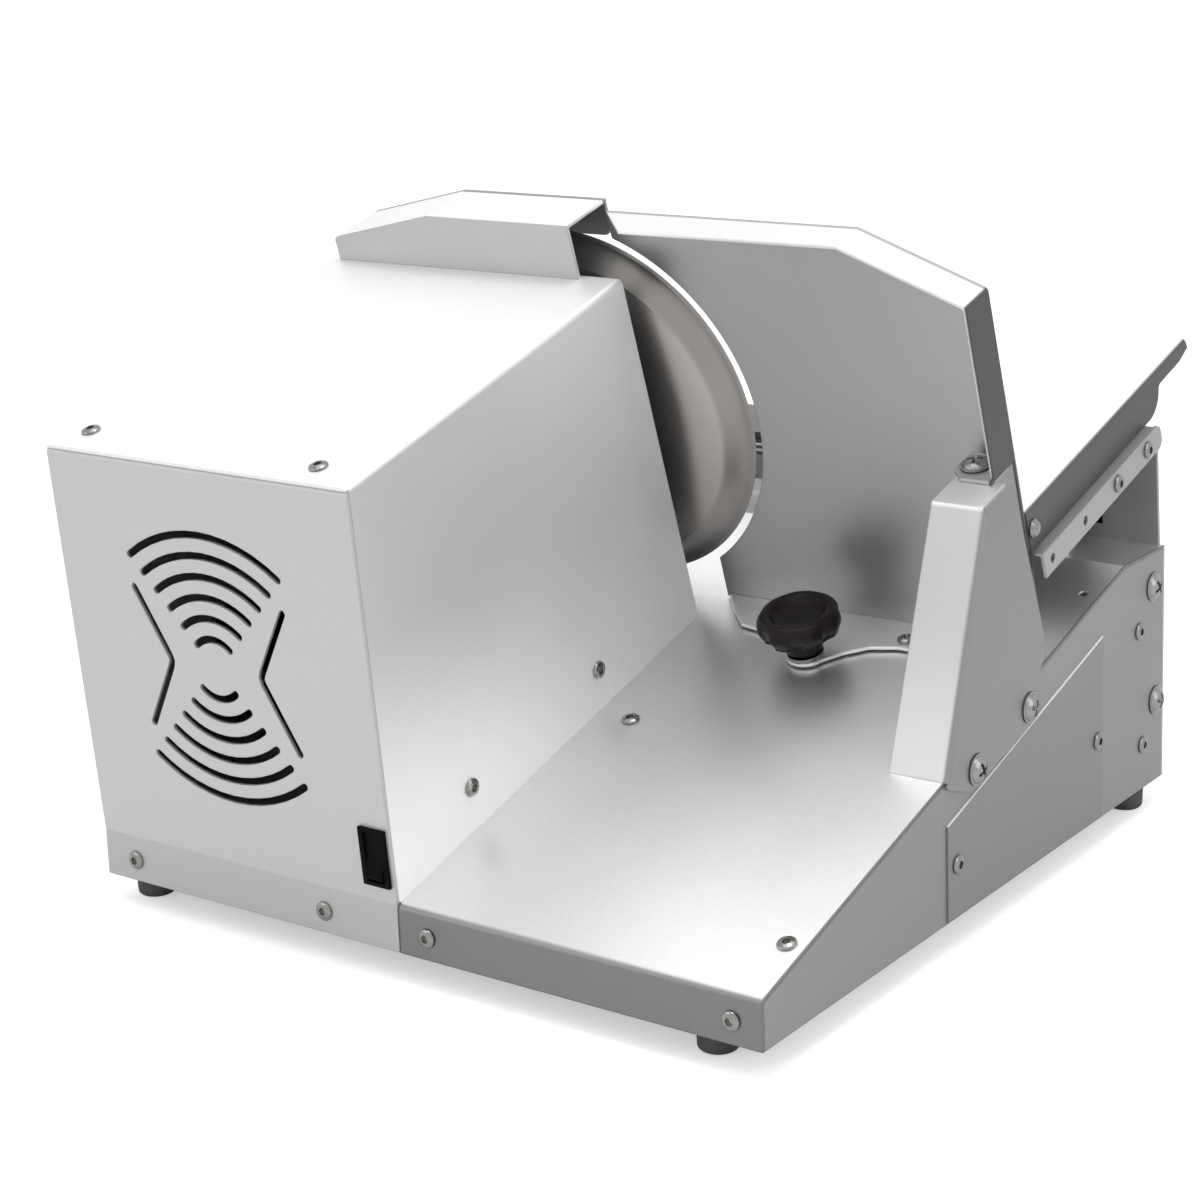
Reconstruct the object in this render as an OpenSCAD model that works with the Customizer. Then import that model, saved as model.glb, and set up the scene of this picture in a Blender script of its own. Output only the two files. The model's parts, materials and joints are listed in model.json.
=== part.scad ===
// Folded-sheet meat slicer: inclined base, motor housing, dished blade, gauge plate and sliding tray.
// Machine axes: x to the right, y to the rear, z up, from the base's front left lower corner.
// Incline axes: x, u up the sloping deck, v square to the deck, from the deck's front edge.

/* [Base] */
// Width of the base, left to right
body_w = 450; // [444:1:470]
// Depth of the base, front to rear
body_d = 450; // [444:1:460]
// Height of the upright front flange
flange_h = 26.5; // [24:0.5:30]
// Slope of the deck, degrees
slope = 17; // [16:0.5:18]
// Depth of the level shelf behind the fold of the deck
shelf_d = 55; // [50:1:60]
// Thickness of the folded sheet
sheet_t = 2; // [1.5:0.1:2.2]
// Inner radius of the sheet bends
bend_r = 1.5; // [1:0.1:2]
// Diameter of a rubber foot
foot_d = 23.2; // [22:0.2:26]
// Height of a rubber foot
foot_h = 16; // [12:1:20]
// Distance from the base's sides to a foot's centre
foot_inset_x = 15; // [14:1:20]
// Distance from the base's right side to the front right foot's centre
foot_front_right = 41; // [36:1:44]
// Distance from the base's front and rear to a foot's centre
foot_inset_y = 22; // [20:1:26]
// Height of the rear panel above the base's underside
rear_h = 206; // [204:1:210]

/* [Housing] */
// Width of the motor housing
housing_w = 220; // [218:1:224]
// Height of the housing square to the deck
housing_v = 226; // [222:1:230]
// Rear edge of the housing along the deck
housing_u = 294.5; // [293:0.5:296]
// Forward lean of the vent face, degrees
vent_lean = 5.145; // [4:0.1:6]
// Width of one vent slot
slot_w = 4.4; // [3:0.2:5]
// Number of curved slots above and below the centre
slot_count = 6; // [3:1:6]
// Centre of the slot pattern from the left edge
vent_x = 109; // [105:1:112]
// Centre of the slot pattern up the vent face
vent_w = 115.7; // [112:1:118]
// Width of the power switch
switch_w = 18; // [17:0.5:18.5]
// Height of the power switch
switch_h = 33; // [31:1:36]
// Centre of the switch from the housing's right edge
switch_inset = 11; // [11:0.5:12]
// Centre of the switch up the vent face
switch_up = 26; // [24:1:40]

/* [Blade] */
// Radius of the blade
blade_r = 116; // [110:1:117]
// Blade axis from the left edge
blade_x = 155.5; // [154:0.5:157]
// Blade axis above the deck
blade_v = 126.4; // [125:0.5:128]
// Cutting plane along the deck
blade_u = 320; // [319:0.5:320]
// Depth of the blade's dish
dish_h = 8.4; // [6:0.2:9]
// Gap between the cutting edge and the gauge plate
blade_gap = 5.3; // [4:0.1:8]

/* [Gauge plate] */
// Distance from the base's right side to the gauge plate's right edge
gauge_inset = 7.2; // [6.8:0.2:9]
// Left end of the gauge plate's top
gauge_x0 = 198; // [197:1:200]
// Top edge of the gauge plate above the deck
gauge_v = 256; // [252:1:260]
// Depth of the flanges folded toward the front
gauge_flange = 25; // [22:1:26]
// How far the gauge plate can be drawn back from the blade
gauge_travel = 3.5; // [2:0.5:3.5]
// Diameter of the clamp knob
knob_d = 50; // [44:1:54]
// Number of lobes on the clamp knob
knob_lobes = 7; // [5:1:9]

/* [Carriage] */
// Width of the tray
tray_w = 146; // [138:1:152]
// Distance from the base's right side to the right edge of the tray and its arm
tray_inset = 7; // [7:0.5:9]
// Top of the tray above the deck
tray_v = 88; // [84:1:92]
// Near edge of the tray along the deck
tray_u0 = 322; // [321.5:0.5:326]
// Rear edge of the tray's wide part
tray_u1 = 453; // [450:1:456]
// Far end of the tray's arm
arm_u = 542; // [530:1:550]
// Width of the tray's arm
arm_w = 22; // [18:1:26]
// Distance that the carriage slides to the left
carriage_travel = 200; // [120:5:200]
// Diameter of the guide rod
rod_d = 12; // [10:1:12]

/* [Drive] */
// Diameter of the motor casing
motor_d = 104; // [96:1:108]
// Motor axis from the left edge
motor_x = 75; // [72:1:78]
// Motor axis above the deck
motor_v = 72; // [70:1:76]
// Radius of the motor pulley's belt seat
motor_pulley_r = 14; // [13:0.5:15]
// Radius of the driven pulley's belt seat
driven_pulley_r = 56; // [52:1:57]

/* [Fasteners] */
// Head diameter of the small button-head screws
small_head_d = 9.5; // [9:0.1:10]
// Shank diameter of the small screws
small_d = 5; // [4:0.5:5]
// Head diameter of the large pan-head screws
large_head_d = 16; // [14:0.5:17]
// Shank diameter of the large screws
large_d = 8; // [7:0.5:8]

/* [Hidden] */
$fn = 48;
small_head_h = 2.6;
large_head_h = 5;
hole_clear = 0.3;
touch = 0.1;
run_fit = 0.03;
x_min = -large_head_h;
x_max = body_w + sheet_t + large_head_h;
arm_end_v = 80;
fold_y = body_d - shelf_d;
fold_u = fold_y / cos(slope);
switch_x = housing_w - switch_inset;
gauge_x1 = body_w - gauge_inset;
tray_x1 = body_w - tray_inset;
tray_x0 = tray_x1 - tray_w;
bend_out = bend_r + sheet_t;
hex_share = 0.33;
cross_share = 0.55;
cross_half = 0.09;
recess_floor = 0.38;
head_rim = 0.3;
function y_of(u, v) = u * cos(slope) - v * sin(slope);
function z_of(u, v) = flange_h + u * sin(slope) + v * cos(slope);
face_tan = tan(slope - vent_lean);
function face_u(v) = v * face_tan;
x_mid = (x_min + x_max) / 2;
y_mid = (y_of(face_u(housing_v), housing_v) + y_of(arm_u, arm_end_v)) / 2;
fold_z = flange_h + fold_y * tan(slope);
rear_y = body_d - sheet_t;
bend_steps = 5;

// Frames of reference

module machine() translate([-x_mid, -y_mid, foot_h]) children();
module incline() machine() translate([0, 0, flange_h]) rotate([slope, 0, 0]) children();
module vent_frame() machine() translate([0, 0, flange_h]) rotate([vent_lean, 0, 0]) children();
// A flat shape in (y, z) or (u, v) drawn out along x
module along_x(x0, x1) translate([x0, 0, 0]) rotate([90, 0, 90]) linear_extrude(x1 - x0) children();
// A flat shape in (x, z) or (x, v) drawn out along y or u
module along_u(u0, u1) translate([0, u1, 0]) rotate([90, 0, 0]) linear_extrude(u1 - u0) children();
// A flat shape in (x, u) drawn out along v
module along_v(v0, v1) translate([0, 0, v0]) linear_extrude(v1 - v0) children();
module box(x0, x1, y0, y1, z0, z1) translate([x0, y0, z0]) cube([x1 - x0, y1 - y0, z1 - z0]);
module round_u(x, v, r, u0, u1) translate([x, u0, v]) rotate([-90, 0, 0]) cylinder(h = u1 - u0, r = r);
module round_x(u, v, r, x0, x1) translate([x0, u, v]) rotate([0, 90, 0]) cylinder(h = x1 - x0, r = r);
module round_v(x, u, r, v0, v1) translate([x, u, v0]) cylinder(h = v1 - v0, r = r);
module slot_v(x, u, r, run, v0, v1) {
    round_v(x, u, r, v0, v1);
    round_v(x, u + run, r, v0, v1);
    box(x - r, x + r, u, u + run, v0, v1);
}

// Outline of a folded sheet: the outer line of its section, with the thickness to the left

function unit(v) = v / norm(v);
function left(d) = [-d[1], d[0]];
function turn_of(d1, d2) = atan2(d1[0] * d2[1] - d1[1] * d2[0], d1 * d2);
function corner(p0, p1, p2, t, side) =
    let(d1 = unit(p1 - p0), d2 = unit(p2 - p1), ang = turn_of(d1, d2), s = sign(ang),
        rp = s > 0 ? bend_r + t : bend_r,
        c = p1 - d1 * rp * tan(abs(ang) / 2) + left(d1) * rp * s,
        r = side == 0 ? rp : (s > 0 ? bend_r : bend_r + t),
        a0 = atan2(-left(d1)[1] * s, -left(d1)[0] * s))
    [for (k = [0:bend_steps]) c + r * [cos(a0 + ang * k / bend_steps), sin(a0 + ang * k / bend_steps)]];
function side_line(path, t, side) =
    let(n = len(path) - 1, d0 = unit(path[1] - path[0]), dn = unit(path[n] - path[n - 1]))
    concat([path[0] + left(d0) * t * side],
        [for (i = [1:1:n - 1]) each corner(path[i - 1], path[i], path[i + 1], t, side)],
        [path[n] + left(dn) * t * side]);
function reverse(list) = [for (i = [len(list) - 1:-1:0]) list[i]];
function sheet(path, t) = concat(side_line(path, t, 0), reverse(side_line(path, t, 1)));
function arc(c, r, a0, a1, n) = [for (k = [0:n])
    c + r * [cos(a0 + (a1 - a0) * k / n), sin(a0 + (a1 - a0) * k / n)]];

// Fasteners, each with its head on +z and its shank below z = 0

function dome(r, h) = [for (a = [0:15:90]) [r * cos(a), h * (head_rim + (1 - head_rim) * sin(a))]];
module button_screw(length) {
    r = small_head_d / 2;
    difference() {
        rotate_extrude() polygon(concat([[0, -length], [small_d / 2, -length], [small_d / 2, 0], [r, 0]],
            dome(r, small_head_h)));
        translate([0, 0, small_head_h * recess_floor])
            cylinder(h = small_head_h, r = small_d * hex_share, $fn = 6);
    }
}
module pan_screw(length) {
    r = large_head_d / 2;
    arm = large_d * cross_share;
    half = large_d * cross_half;
    difference() {
        rotate_extrude() polygon(concat([[0, -length], [large_d / 2, -length], [large_d / 2, 0], [r, 0]],
            dome(r, large_head_h)));
        for (a = [0, 90]) rotate([0, 0, a])
            box(-arm, arm, -half, half, large_head_h * recess_floor, large_head_h + 1);
    }
}
module to_front() rotate([90, 0, 0]) children();
module to_rear() rotate([-90, 0, 0]) children();
module to_right() rotate([0, 90, 0]) children();
module to_left() rotate([0, -90, 0]) children();
module small_hole(h) cylinder(h = h, r = small_d / 2 + hole_clear, center = true);
module large_hole(h) cylinder(h = h, r = large_d / 2 + hole_clear, center = true);

// Places of the fasteners

front_screw_z = 12.5;
strip_screws = [23.7, housing_w - 52.2];
flange_screws = [housing_w + 19.8, body_w - 18.1];
deck_screws = [[housing_w + 24, 186], [body_w - 11, 41.5]];
deck_open_hole = [body_w - 10.4, fold_u - 35];
side_screws = [[body_d - 35.3, 101.6], [body_d - 29.5, 28.4]];
rear_side_screws = [[body_d - 16.2, 125], [body_d - 11.6, 52]];
cover_y0 = 179;
cover_y1 = fold_y - 31;
cover_screws = [[cover_y0 + 10, 31.3], [cover_y1 - 7, 50]];
pillar_screw_at = [[215.3, -11.3], [278.8, -12.6]];
shell_side_screws = [[195.8, 23.5], [74.7, 24.5]];
shell_top_screws = [[17, 66.3], [housing_w - 32, 63.3]];
hood_tab_screws = [40, 180];
rear_screws = [60, body_w / 2, body_w - 60];
foot_places = [[foot_inset_x, foot_inset_y], [foot_inset_x, body_d - foot_inset_y],
    [body_w - foot_inset_x, body_d - foot_inset_y], [body_w - foot_front_right, foot_inset_y]];
cable_hole = [150, 40];

// Base

split_x = housing_w + 1;
brace_leg = 16;
brace_z = 4;
front_tab = 30;
front_tab_z = 3;
front_tab_h = 19;
inner_flange = foot_front_right + 15;
deck_start = sheet_t + 1;
rear_lip = 14;
rear_screw_z = fold_z - rear_lip / 2 - 1;
cable_hole_r = 8;
under_deck_u = [12, fold_u - 25];
under_deck_w = 20;

module deck_holes() {
    for (p = deck_screws) translate([p[0], p[1], 0]) small_hole(20);
    translate([deck_open_hole[0], deck_open_hole[1], 0]) small_hole(20);
    translate([stud_at[0], stud_at[1], 0]) large_hole(20);
    translate([foot_screw_at[0], foot_screw_at[1], 0]) small_hole(20);
    for (p = motor_feet) translate([p[0], p[1], 0]) small_hole(20);
    round_v(cable_hole[0], cable_hole[1], cable_hole_r, -10, 10);
}

module deck_plate() color([0.86, 0.86, 0.86]) difference() {
    machine() {
        along_x(0, body_w) polygon(sheet([[rear_y, fold_z], [fold_y, fold_z], [0, flange_h], [0, 0]],
            sheet_t));
        box(3 * sheet_t, body_w - 3 * sheet_t, rear_y - sheet_t, rear_y, fold_z - rear_lip,
            fold_z - sheet_t / 2);
    }
    incline() {
        deck_holes();
        box(-1, split_x, -50, deck_start, -60, 10);
    }
    machine() {
        for (x = flange_screws) translate([x, 0, front_screw_z]) to_front() small_hole(20);
        for (x = rear_screws) translate([x, rear_y, rear_screw_z]) to_front() small_hole(20);
    }
}

under_fold_y = fold_y + sheet_t * (1 / cos(slope) - 1) / tan(slope);
wall_outline = [[sheet_t, 0], [sheet_t, flange_h + sheet_t * tan(slope) - sheet_t / cos(slope)],
    [under_fold_y, fold_z - sheet_t], [rear_y, fold_z - sheet_t], [rear_y, 0]];
cover_z0 = 1;
cover_v = -24.2;
hatch_edge = 14;
hatch_low = 9;
hatch_drop = 10;
function line_z(y, v) = flange_h + y * tan(slope) + v / cos(slope);

// The right side wall, from x = 0 inward as for a left wall
module side_wall(has_hatch, front_hole, front_foot) {
    difference() {
        union() {
            along_x(0, sheet_t) polygon(wall_outline);
            box(sheet_t / 2, inner_flange, 2 * sheet_t, rear_y - 2 * sheet_t, 0, sheet_t);
            box(sheet_t / 2, front_tab, sheet_t, 2 * sheet_t, front_tab_z, front_tab_z + front_tab_h);
        }
        if (has_hatch) along_x(-1, sheet_t + 1) polygon([
            [cover_y0 + hatch_edge, hatch_low],
            [cover_y1 - hatch_edge, hatch_low],
            [cover_y1 - hatch_edge, line_z(cover_y1 - hatch_edge, cover_v) - hatch_drop],
            [cover_y0 + hatch_edge, line_z(cover_y0 + hatch_edge, cover_v) - hatch_drop]]);
        if (has_hatch) for (p = cover_screws) translate([0, p[0], p[1]]) to_right() small_hole(10);
        for (p = side_screws) translate([0, p[0], p[1]]) to_right() small_hole(10);
        for (p = rear_side_screws) translate([0, p[0], p[1]]) to_right() large_hole(10);
        translate([front_foot, foot_inset_y, 0]) small_hole(10);
        translate([foot_inset_x, body_d - foot_inset_y, 0]) small_hole(10);
        translate([front_hole, 0, front_screw_z]) to_front() small_hole(20);
    }
}
// The flange under the deck's edge, in incline axes
module top_flange() difference() {
    box(sheet_t / 2, under_deck_w, under_deck_u[0], under_deck_u[1], -2 * sheet_t, -sheet_t);
    for (u = [deck_screws[1][1], deck_open_hole[1]]) translate([body_w - deck_screws[1][0], u, 0])
        small_hole(20);
}
module side_wall_left() color([0.66, 0.66, 0.66]) {
    machine() side_wall(false, strip_screws[0], foot_inset_x);
    incline() top_flange();
}
module side_wall_right() color([0.66, 0.66, 0.66]) {
    difference() {
        machine() translate([body_w, 0, 0]) mirror([1, 0, 0])
            side_wall(true, body_w - flange_screws[1], foot_front_right);
        incline() for (p = pillar_screw_at) translate([body_w, p[0], p[1]]) to_right() large_hole(20);
    }
    incline() translate([body_w, 0, 0]) mirror([1, 0, 0]) top_flange();
}

cover_t = 1.2;
module side_cover() color([0.7, 0.7, 0.7]) machine() difference() {
    along_x(body_w, body_w + cover_t) polygon([[cover_y0, cover_z0], [cover_y1, cover_z0],
        [cover_y1, line_z(cover_y1, cover_v)], [cover_y0, line_z(cover_y0, cover_v)]]);
    for (p = cover_screws) translate([body_w, p[0], p[1]]) to_right() small_hole(10);
}

// Window of the rear panel in which the carriage's bracket travels
window_side = 41;
window_spare = 8;
bracket_w = 152;
window_x1 = body_w - window_side;
window_x0 = window_x1 - bracket_w - carriage_travel - 2 * window_spare;
window_z0 = fold_z + 8.5;
window_z1 = rear_h - 18;
channel_y = body_d + 28;
channel_x0 = 28;
channel_x1 = body_w - 28;
channel_z0 = window_z0 - 5;
channel_z1 = window_z1 + 4;
channel_screw_z = channel_z1 + 7;
panel_step = 3;
panel_taper = 2;
panel_leg = 44;
channel_lip = 8;
gland_at = [60, 40];
gland_r = 10;

module rear_panel() color([0.78, 0.78, 0.78]) machine() difference() {
    union() {
        along_u(rear_y, body_d) polygon([[0, 0], [body_w, 0], [body_w, fold_z], [body_w - panel_step, fold_z],
            [body_w - panel_step - panel_taper, rear_h], [panel_step + panel_taper, rear_h],
            [panel_step, fold_z], [0, fold_z]]);
        for (x = [sheet_t, body_w - 2 * sheet_t])
            box(x, x + sheet_t, rear_y - panel_leg, body_d - sheet_t / 2, sheet_t + 1,
                fold_z - rear_lip - sheet_t);
    }
    box(window_x0, window_x1, rear_y - 1, body_d + 1, window_z0, window_z1);
    for (x = rear_screws) for (z = [rear_screw_z, channel_screw_z]) translate([x, body_d, z]) to_front()
        small_hole(20);
    for (x = [0, body_w]) {
        for (p = side_screws) translate([x, p[0], p[1]]) to_right() small_hole(20);
        for (p = rear_side_screws) translate([x, p[0], p[1]]) to_right() large_hole(20);
    }
    translate([gland_at[0], body_d, gland_at[1]]) to_front()
        cylinder(h = 20, r = gland_r + hole_clear, center = true);
}

brace_x0 = front_tab + 4;
module front_brace() color([0.6, 0.6, 0.6]) machine() difference() {
    union() {
        box(brace_x0, body_w - brace_x0, sheet_t, 2 * sheet_t, brace_z, brace_z + brace_leg);
        box(brace_x0, body_w - brace_x0, sheet_t, sheet_t + brace_leg, brace_z, brace_z + sheet_t);
    }
    for (x = [strip_screws[1], flange_screws[0]]) translate([x, 0, front_screw_z]) to_front() small_hole(20);
}

deck_brace_w = 18;
deck_brace_u0 = 30;
module deck_brace() color([0.6, 0.6, 0.6]) incline() translate([deck_screws[0][0], 0, 0]) difference() {
    union() {
        box(-deck_brace_w / 2, deck_brace_w / 2, deck_brace_u0, under_deck_u[1], -2 * sheet_t, -sheet_t);
        box(deck_brace_w / 2 - sheet_t, deck_brace_w / 2, deck_brace_u0, under_deck_u[1],
            -brace_leg - sheet_t, -sheet_t);
    }
    translate([0, deck_screws[0][1], 0]) small_hole(20);
}

module base_screws() color([0.8, 0.8, 0.8]) {
    machine() {
        for (x = concat(strip_screws, flange_screws)) translate([x, 0, front_screw_z]) to_front()
            button_screw(10);
        for (p = side_screws) {
            translate([body_w, p[0], p[1]]) to_right() button_screw(10);
            translate([0, p[0], p[1]]) to_left() button_screw(10);
        }
        for (p = cover_screws) translate([body_w + cover_t, p[0], p[1]]) to_right() button_screw(8);
        for (x = rear_screws) for (z = [rear_screw_z, channel_screw_z])
            translate([x, body_d + sheet_t, z]) to_rear() button_screw(10);
    }
    incline() for (p = deck_screws) translate([p[0], p[1], 0]) button_screw(12);
}

module rear_pan_screws() color([0.8, 0.8, 0.8]) machine() for (p = rear_side_screws) {
    translate([body_w, p[0], p[1]]) to_right() pan_screw(14);
    translate([0, p[0], p[1]]) to_left() pan_screw(14);
}

foot_recess = 7;
foot_round = 3;
foot_draft = 0.6;
module feet() color([0.08, 0.08, 0.08]) machine() for (p = foot_places) translate([p[0], p[1], -foot_h])
    difference() {
        rotate_extrude() polygon(concat([[0, 0]],
            arc([foot_d / 2 - foot_draft - foot_round, foot_round], foot_round, -90, 0, 6),
            [[foot_d / 2, foot_h - 1], [foot_d / 2 - 1, foot_h], [0, foot_h]]));
        cylinder(h = foot_recess, r = small_head_d / 2 + 1);
        small_hole(80);
    }
module feet_screws() color([0.8, 0.8, 0.8]) machine() for (p = foot_places)
    translate([p[0], p[1], foot_recess - foot_h]) mirror([0, 0, 1])
        button_screw(foot_h - foot_recess + 2 * sheet_t);

// Housing

face_cos = cos(slope - vent_lean);
vent_top_v = housing_v - sheet_t;
vent_flange_u = 40;
shell_back = (sheet_t + 0.2) / face_cos;
flange_back = (sheet_t + 0.1) / face_cos;
slot_cut = 20;
function face_yz(v) = [y_of(face_u(v), v), z_of(face_u(v), v)];

// Outline of a bent slot: a line of constant width with round ends
function slot_outline(path, w) =
    let(n = len(path) - 1,
        d = [for (i = [0:n]) unit(path[min(i + 1, n)] - path[max(i - 1, 0)])],
        a0 = atan2(d[0][1], d[0][0]), an = atan2(d[n][1], d[n][0]))
    concat([for (i = [1:1:n - 1]) path[i] + left(d[i]) * w / 2],
        arc(path[n], w / 2, an + 90, an - 90, 6),
        [for (i = [n - 1:-1:1]) path[i] - left(d[i]) * w / 2],
        arc(path[0], w / 2, a0 - 90, a0 - 270, 6));
// Slot number k, counted outward: half its chord, height of its ends and rise of its middle
function chord(k) = 12.2 + 8.5 * k;
function end_h(k) = 12.5 + 9.2 * k;
function rise(k) = 4.6 + 2.6 * k;
function bow(k) =
    let(a = chord(k), s = rise(k), r = (a * a + s * s) / (2 * s), half = asin(a / r))
    arc([0, end_h(k) + s - r], r, 90 + half, 90 - half, 12);
chevron = [[-54.6, 39.7], [-43.6, 19.9], [-34.4, 3.2], [-33.4, 0], [-34.4, -3.2], [-43.6, -19.9],
    [-54.6, -39.7]];

module vent_slots() for (s = [1, -1]) scale([s, s]) {
    for (k = [0:slot_count - 1]) polygon(slot_outline(bow(k), slot_w));
    polygon(slot_outline(chevron, slot_w));
}

switch_rim = [2, 1.5];
switch_cut_w = switch_w - 2 * switch_rim[0];
switch_cut_h = switch_h - 2 * switch_rim[1];

module vent_panel() color([0.78, 0.78, 0.78]) difference() {
    machine() along_x(0, housing_w) polygon(sheet([
        [y_of(face_u(vent_top_v) + vent_flange_u, vent_top_v),
            z_of(face_u(vent_top_v) + vent_flange_u, vent_top_v)],
        face_yz(vent_top_v), [0, flange_h], [0, 0]], sheet_t));
    vent_frame() {
        translate([vent_x, slot_cut / 2, vent_w]) rotate([90, 0, 0]) linear_extrude(slot_cut) vent_slots();
        translate([switch_x, 0, switch_up]) cube([switch_cut_w, slot_cut, switch_cut_h], center = true);
    }
    machine() for (x = strip_screws) translate([x, 0, front_screw_z]) to_front() small_hole(20);
    incline() for (p = shell_top_screws) translate([p[0], p[1], housing_v]) small_hole(20);
    incline() for (x = [-1, housing_w - bend_out]) along_x(x, x + bend_out + 1)
        polygon([[face_u(housing_v / 2) + flange_back, housing_v / 2],
            [face_u(housing_v) + flange_back, housing_v],
            [housing_u, housing_v], [housing_u, housing_v / 2]]);
}

module housing_shell() color([0.82, 0.82, 0.82]) incline() difference() {
    intersection() {
        along_u(-20, housing_u) polygon(sheet([[housing_w, 0], [housing_w, housing_v],
            [0, housing_v], [0, 0]], sheet_t));
        along_x(-1, housing_w + 1) polygon([[shell_back, 0],
            [face_u(vent_top_v + touch) + shell_back, vent_top_v + touch],
            [face_u(vent_top_v + touch), vent_top_v + touch], [face_u(housing_v), housing_v],
            [housing_u, housing_v], [housing_u, 0]]);
    }
    for (p = shell_side_screws) for (x = [0, housing_w]) translate([x, p[0], p[1]]) to_right() small_hole(10);
    for (p = shell_top_screws) translate([p[0], p[1], housing_v]) small_hole(20);
}

angle_u = [50, housing_u - 14.5];
angle_h = 36;
angle_leg = 16;
module housing_angles() color([0.6, 0.6, 0.6]) incline() for (s = [0, 1])
    translate([s * housing_w, 0, 0]) mirror([s, 0, 0]) difference() {
        union() {
            box(sheet_t, 2 * sheet_t, angle_u[0], angle_u[1], 0, angle_h);
            box(sheet_t, sheet_t + angle_leg, angle_u[0], angle_u[1], 0, sheet_t);
        }
        for (p = shell_side_screws) translate([0, p[0], p[1]]) to_right() small_hole(20);
    }

nose_r = 26;
bearing_pcd_r = 38;
back_flange = 12;
bearing_holes = [for (a = [45:90:315]) [blade_x + bearing_pcd_r * cos(a), blade_v + bearing_pcd_r * sin(a)]];
module housing_back() color([0.7, 0.7, 0.7]) incline() difference() {
    union() {
        box(sheet_t, housing_w - sheet_t, housing_u - sheet_t, housing_u, 0, housing_v - sheet_t);
        box(2 * bend_out, housing_w - 2 * bend_out, housing_u - back_flange, housing_u - 1,
            housing_v - 2 * sheet_t, housing_v - sheet_t);
        for (x = [sheet_t, housing_w - 2 * sheet_t])
            box(x, x + sheet_t, housing_u - back_flange, housing_u - 1, 0, housing_v - back_flange);
    }
    round_u(blade_x, blade_v, nose_r + hole_clear, housing_u - 5, housing_u + 1);
    for (p = bearing_holes) translate([p[0], housing_u, p[1]]) to_rear() small_hole(20);
    for (v = hood_tab_screws) translate([hood_screw_x, housing_u, v]) to_rear() small_hole(20);
    for (x = [0, housing_w]) box(x - bend_out, x + bend_out, housing_u - 2 * back_flange, housing_u + 1,
        housing_v - bend_out, housing_v + 1);
}

module housing_screws() color([0.8, 0.8, 0.8]) incline() {
    for (p = shell_side_screws) {
        translate([housing_w, p[0], p[1]]) to_right() button_screw(9);
        translate([0, p[0], p[1]]) to_left() button_screw(9);
    }
    for (p = shell_top_screws) translate([p[0], p[1], housing_v]) button_screw(9);
    for (v = hood_tab_screws) translate([hood_screw_x, housing_u + sheet_t, v]) to_rear() button_screw(9);
}

// Guard over the blade

hood_x0 = 9.9;
hood_x1 = blade_x + 37.5;
hood_left_v = housing_v + 15;
hood_ridge_x = blade_x - 67.5;
hood_ridge_v = housing_v + 33.5;
hood_u0 = housing_u - 5.1;
hood_u1 = blade_u + 9;
hood_lip_v = 236.7;
guard_r = hood_lip_v - blade_v;
hood_screw_x = hood_x0 + 11;
hood_tab_w = 20;
hood_tab_v = [20, 205];
lip_round = 5;

module blade_hood() color([0.85, 0.85, 0.85]) incline() difference() {
    union() {
        along_u(hood_u0, hood_u1) polygon(sheet([[hood_x1, hood_ridge_v], [hood_ridge_x, hood_ridge_v],
            [hood_x0, hood_left_v], [hood_x0, touch]], sheet_t));
        along_u(hood_u0, hood_u0 + sheet_t) polygon([[hood_x0 + 1, housing_v], [hood_x0 + 1, hood_left_v - 1],
            [hood_ridge_x, hood_ridge_v - 1], [hood_x1, hood_ridge_v - 1], [hood_x1, housing_v]]);
        difference() {
            along_u(hood_u1 - sheet_t, hood_u1) polygon(concat([[hood_x0 + 1, touch],
                [hood_x0 + 1, hood_left_v - 1], [hood_ridge_x, hood_ridge_v - 1],
                    [hood_x1, hood_ridge_v - 1]],
                arc([hood_x1 - lip_round, hood_lip_v + lip_round], lip_round, 0, -90, 4),
                [[blade_x, hood_lip_v], [blade_x, touch]]));
            round_u(blade_x, blade_v, guard_r, hood_u1 - 5, hood_u1 + 5);
            box(blade_x - guard_r, blade_x + 1, hood_u1 - 5, hood_u1 + 5, -1, blade_v);
        }
        box(hood_x0 + 1, hood_x0 + hood_tab_w, housing_u, housing_u + sheet_t, hood_tab_v[0], hood_tab_v[1]);
    }
    box(hood_x0 - 1, hood_x1 + 1, hood_u0 - 1, housing_u, -1, housing_v);
    for (v = hood_tab_screws) translate([hood_screw_x, housing_u, v]) to_rear() small_hole(20);
}

// Power switch and cable entry

rocker_w = 11.6;
rocker_h = 26;
rocker_gap = [0.3, 1.3];
rocker_tilt = 7;
rocker_depth = 5;
rocker_hub = [3, 8];
switch_depth = 24;
switch_pocket = 13;
pin_r = 1.5;
pin_half = rocker_w / 2 + 0.7;
module switch_place() vent_frame() translate([switch_x, 0, switch_up]) children();
module switch_body() color([0.1, 0.1, 0.1]) switch_place() difference() {
    union() {
        box(-switch_w / 2, switch_w / 2, -2, 0, -switch_h / 2, switch_h / 2);
        box(-switch_cut_w / 2 + touch, switch_cut_w / 2 - touch, -1, switch_depth,
            -switch_cut_h / 2 + touch, switch_cut_h / 2 - touch);
    }
    box(-rocker_w / 2 - rocker_gap[0], rocker_w / 2 + rocker_gap[0], -5, switch_pocket,
        -rocker_h / 2 - rocker_gap[1], rocker_h / 2 + rocker_gap[1]);
    round_x(rocker_depth, 0, pin_r + run_fit, -pin_half - 0.2, pin_half + 0.2);
}
rocker_top = rocker_h / 2;
rocker_side = [[-7, rocker_top - 0.6], [-6.6, rocker_top], [-2, rocker_top - 0.4], rocker_hub];
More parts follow.
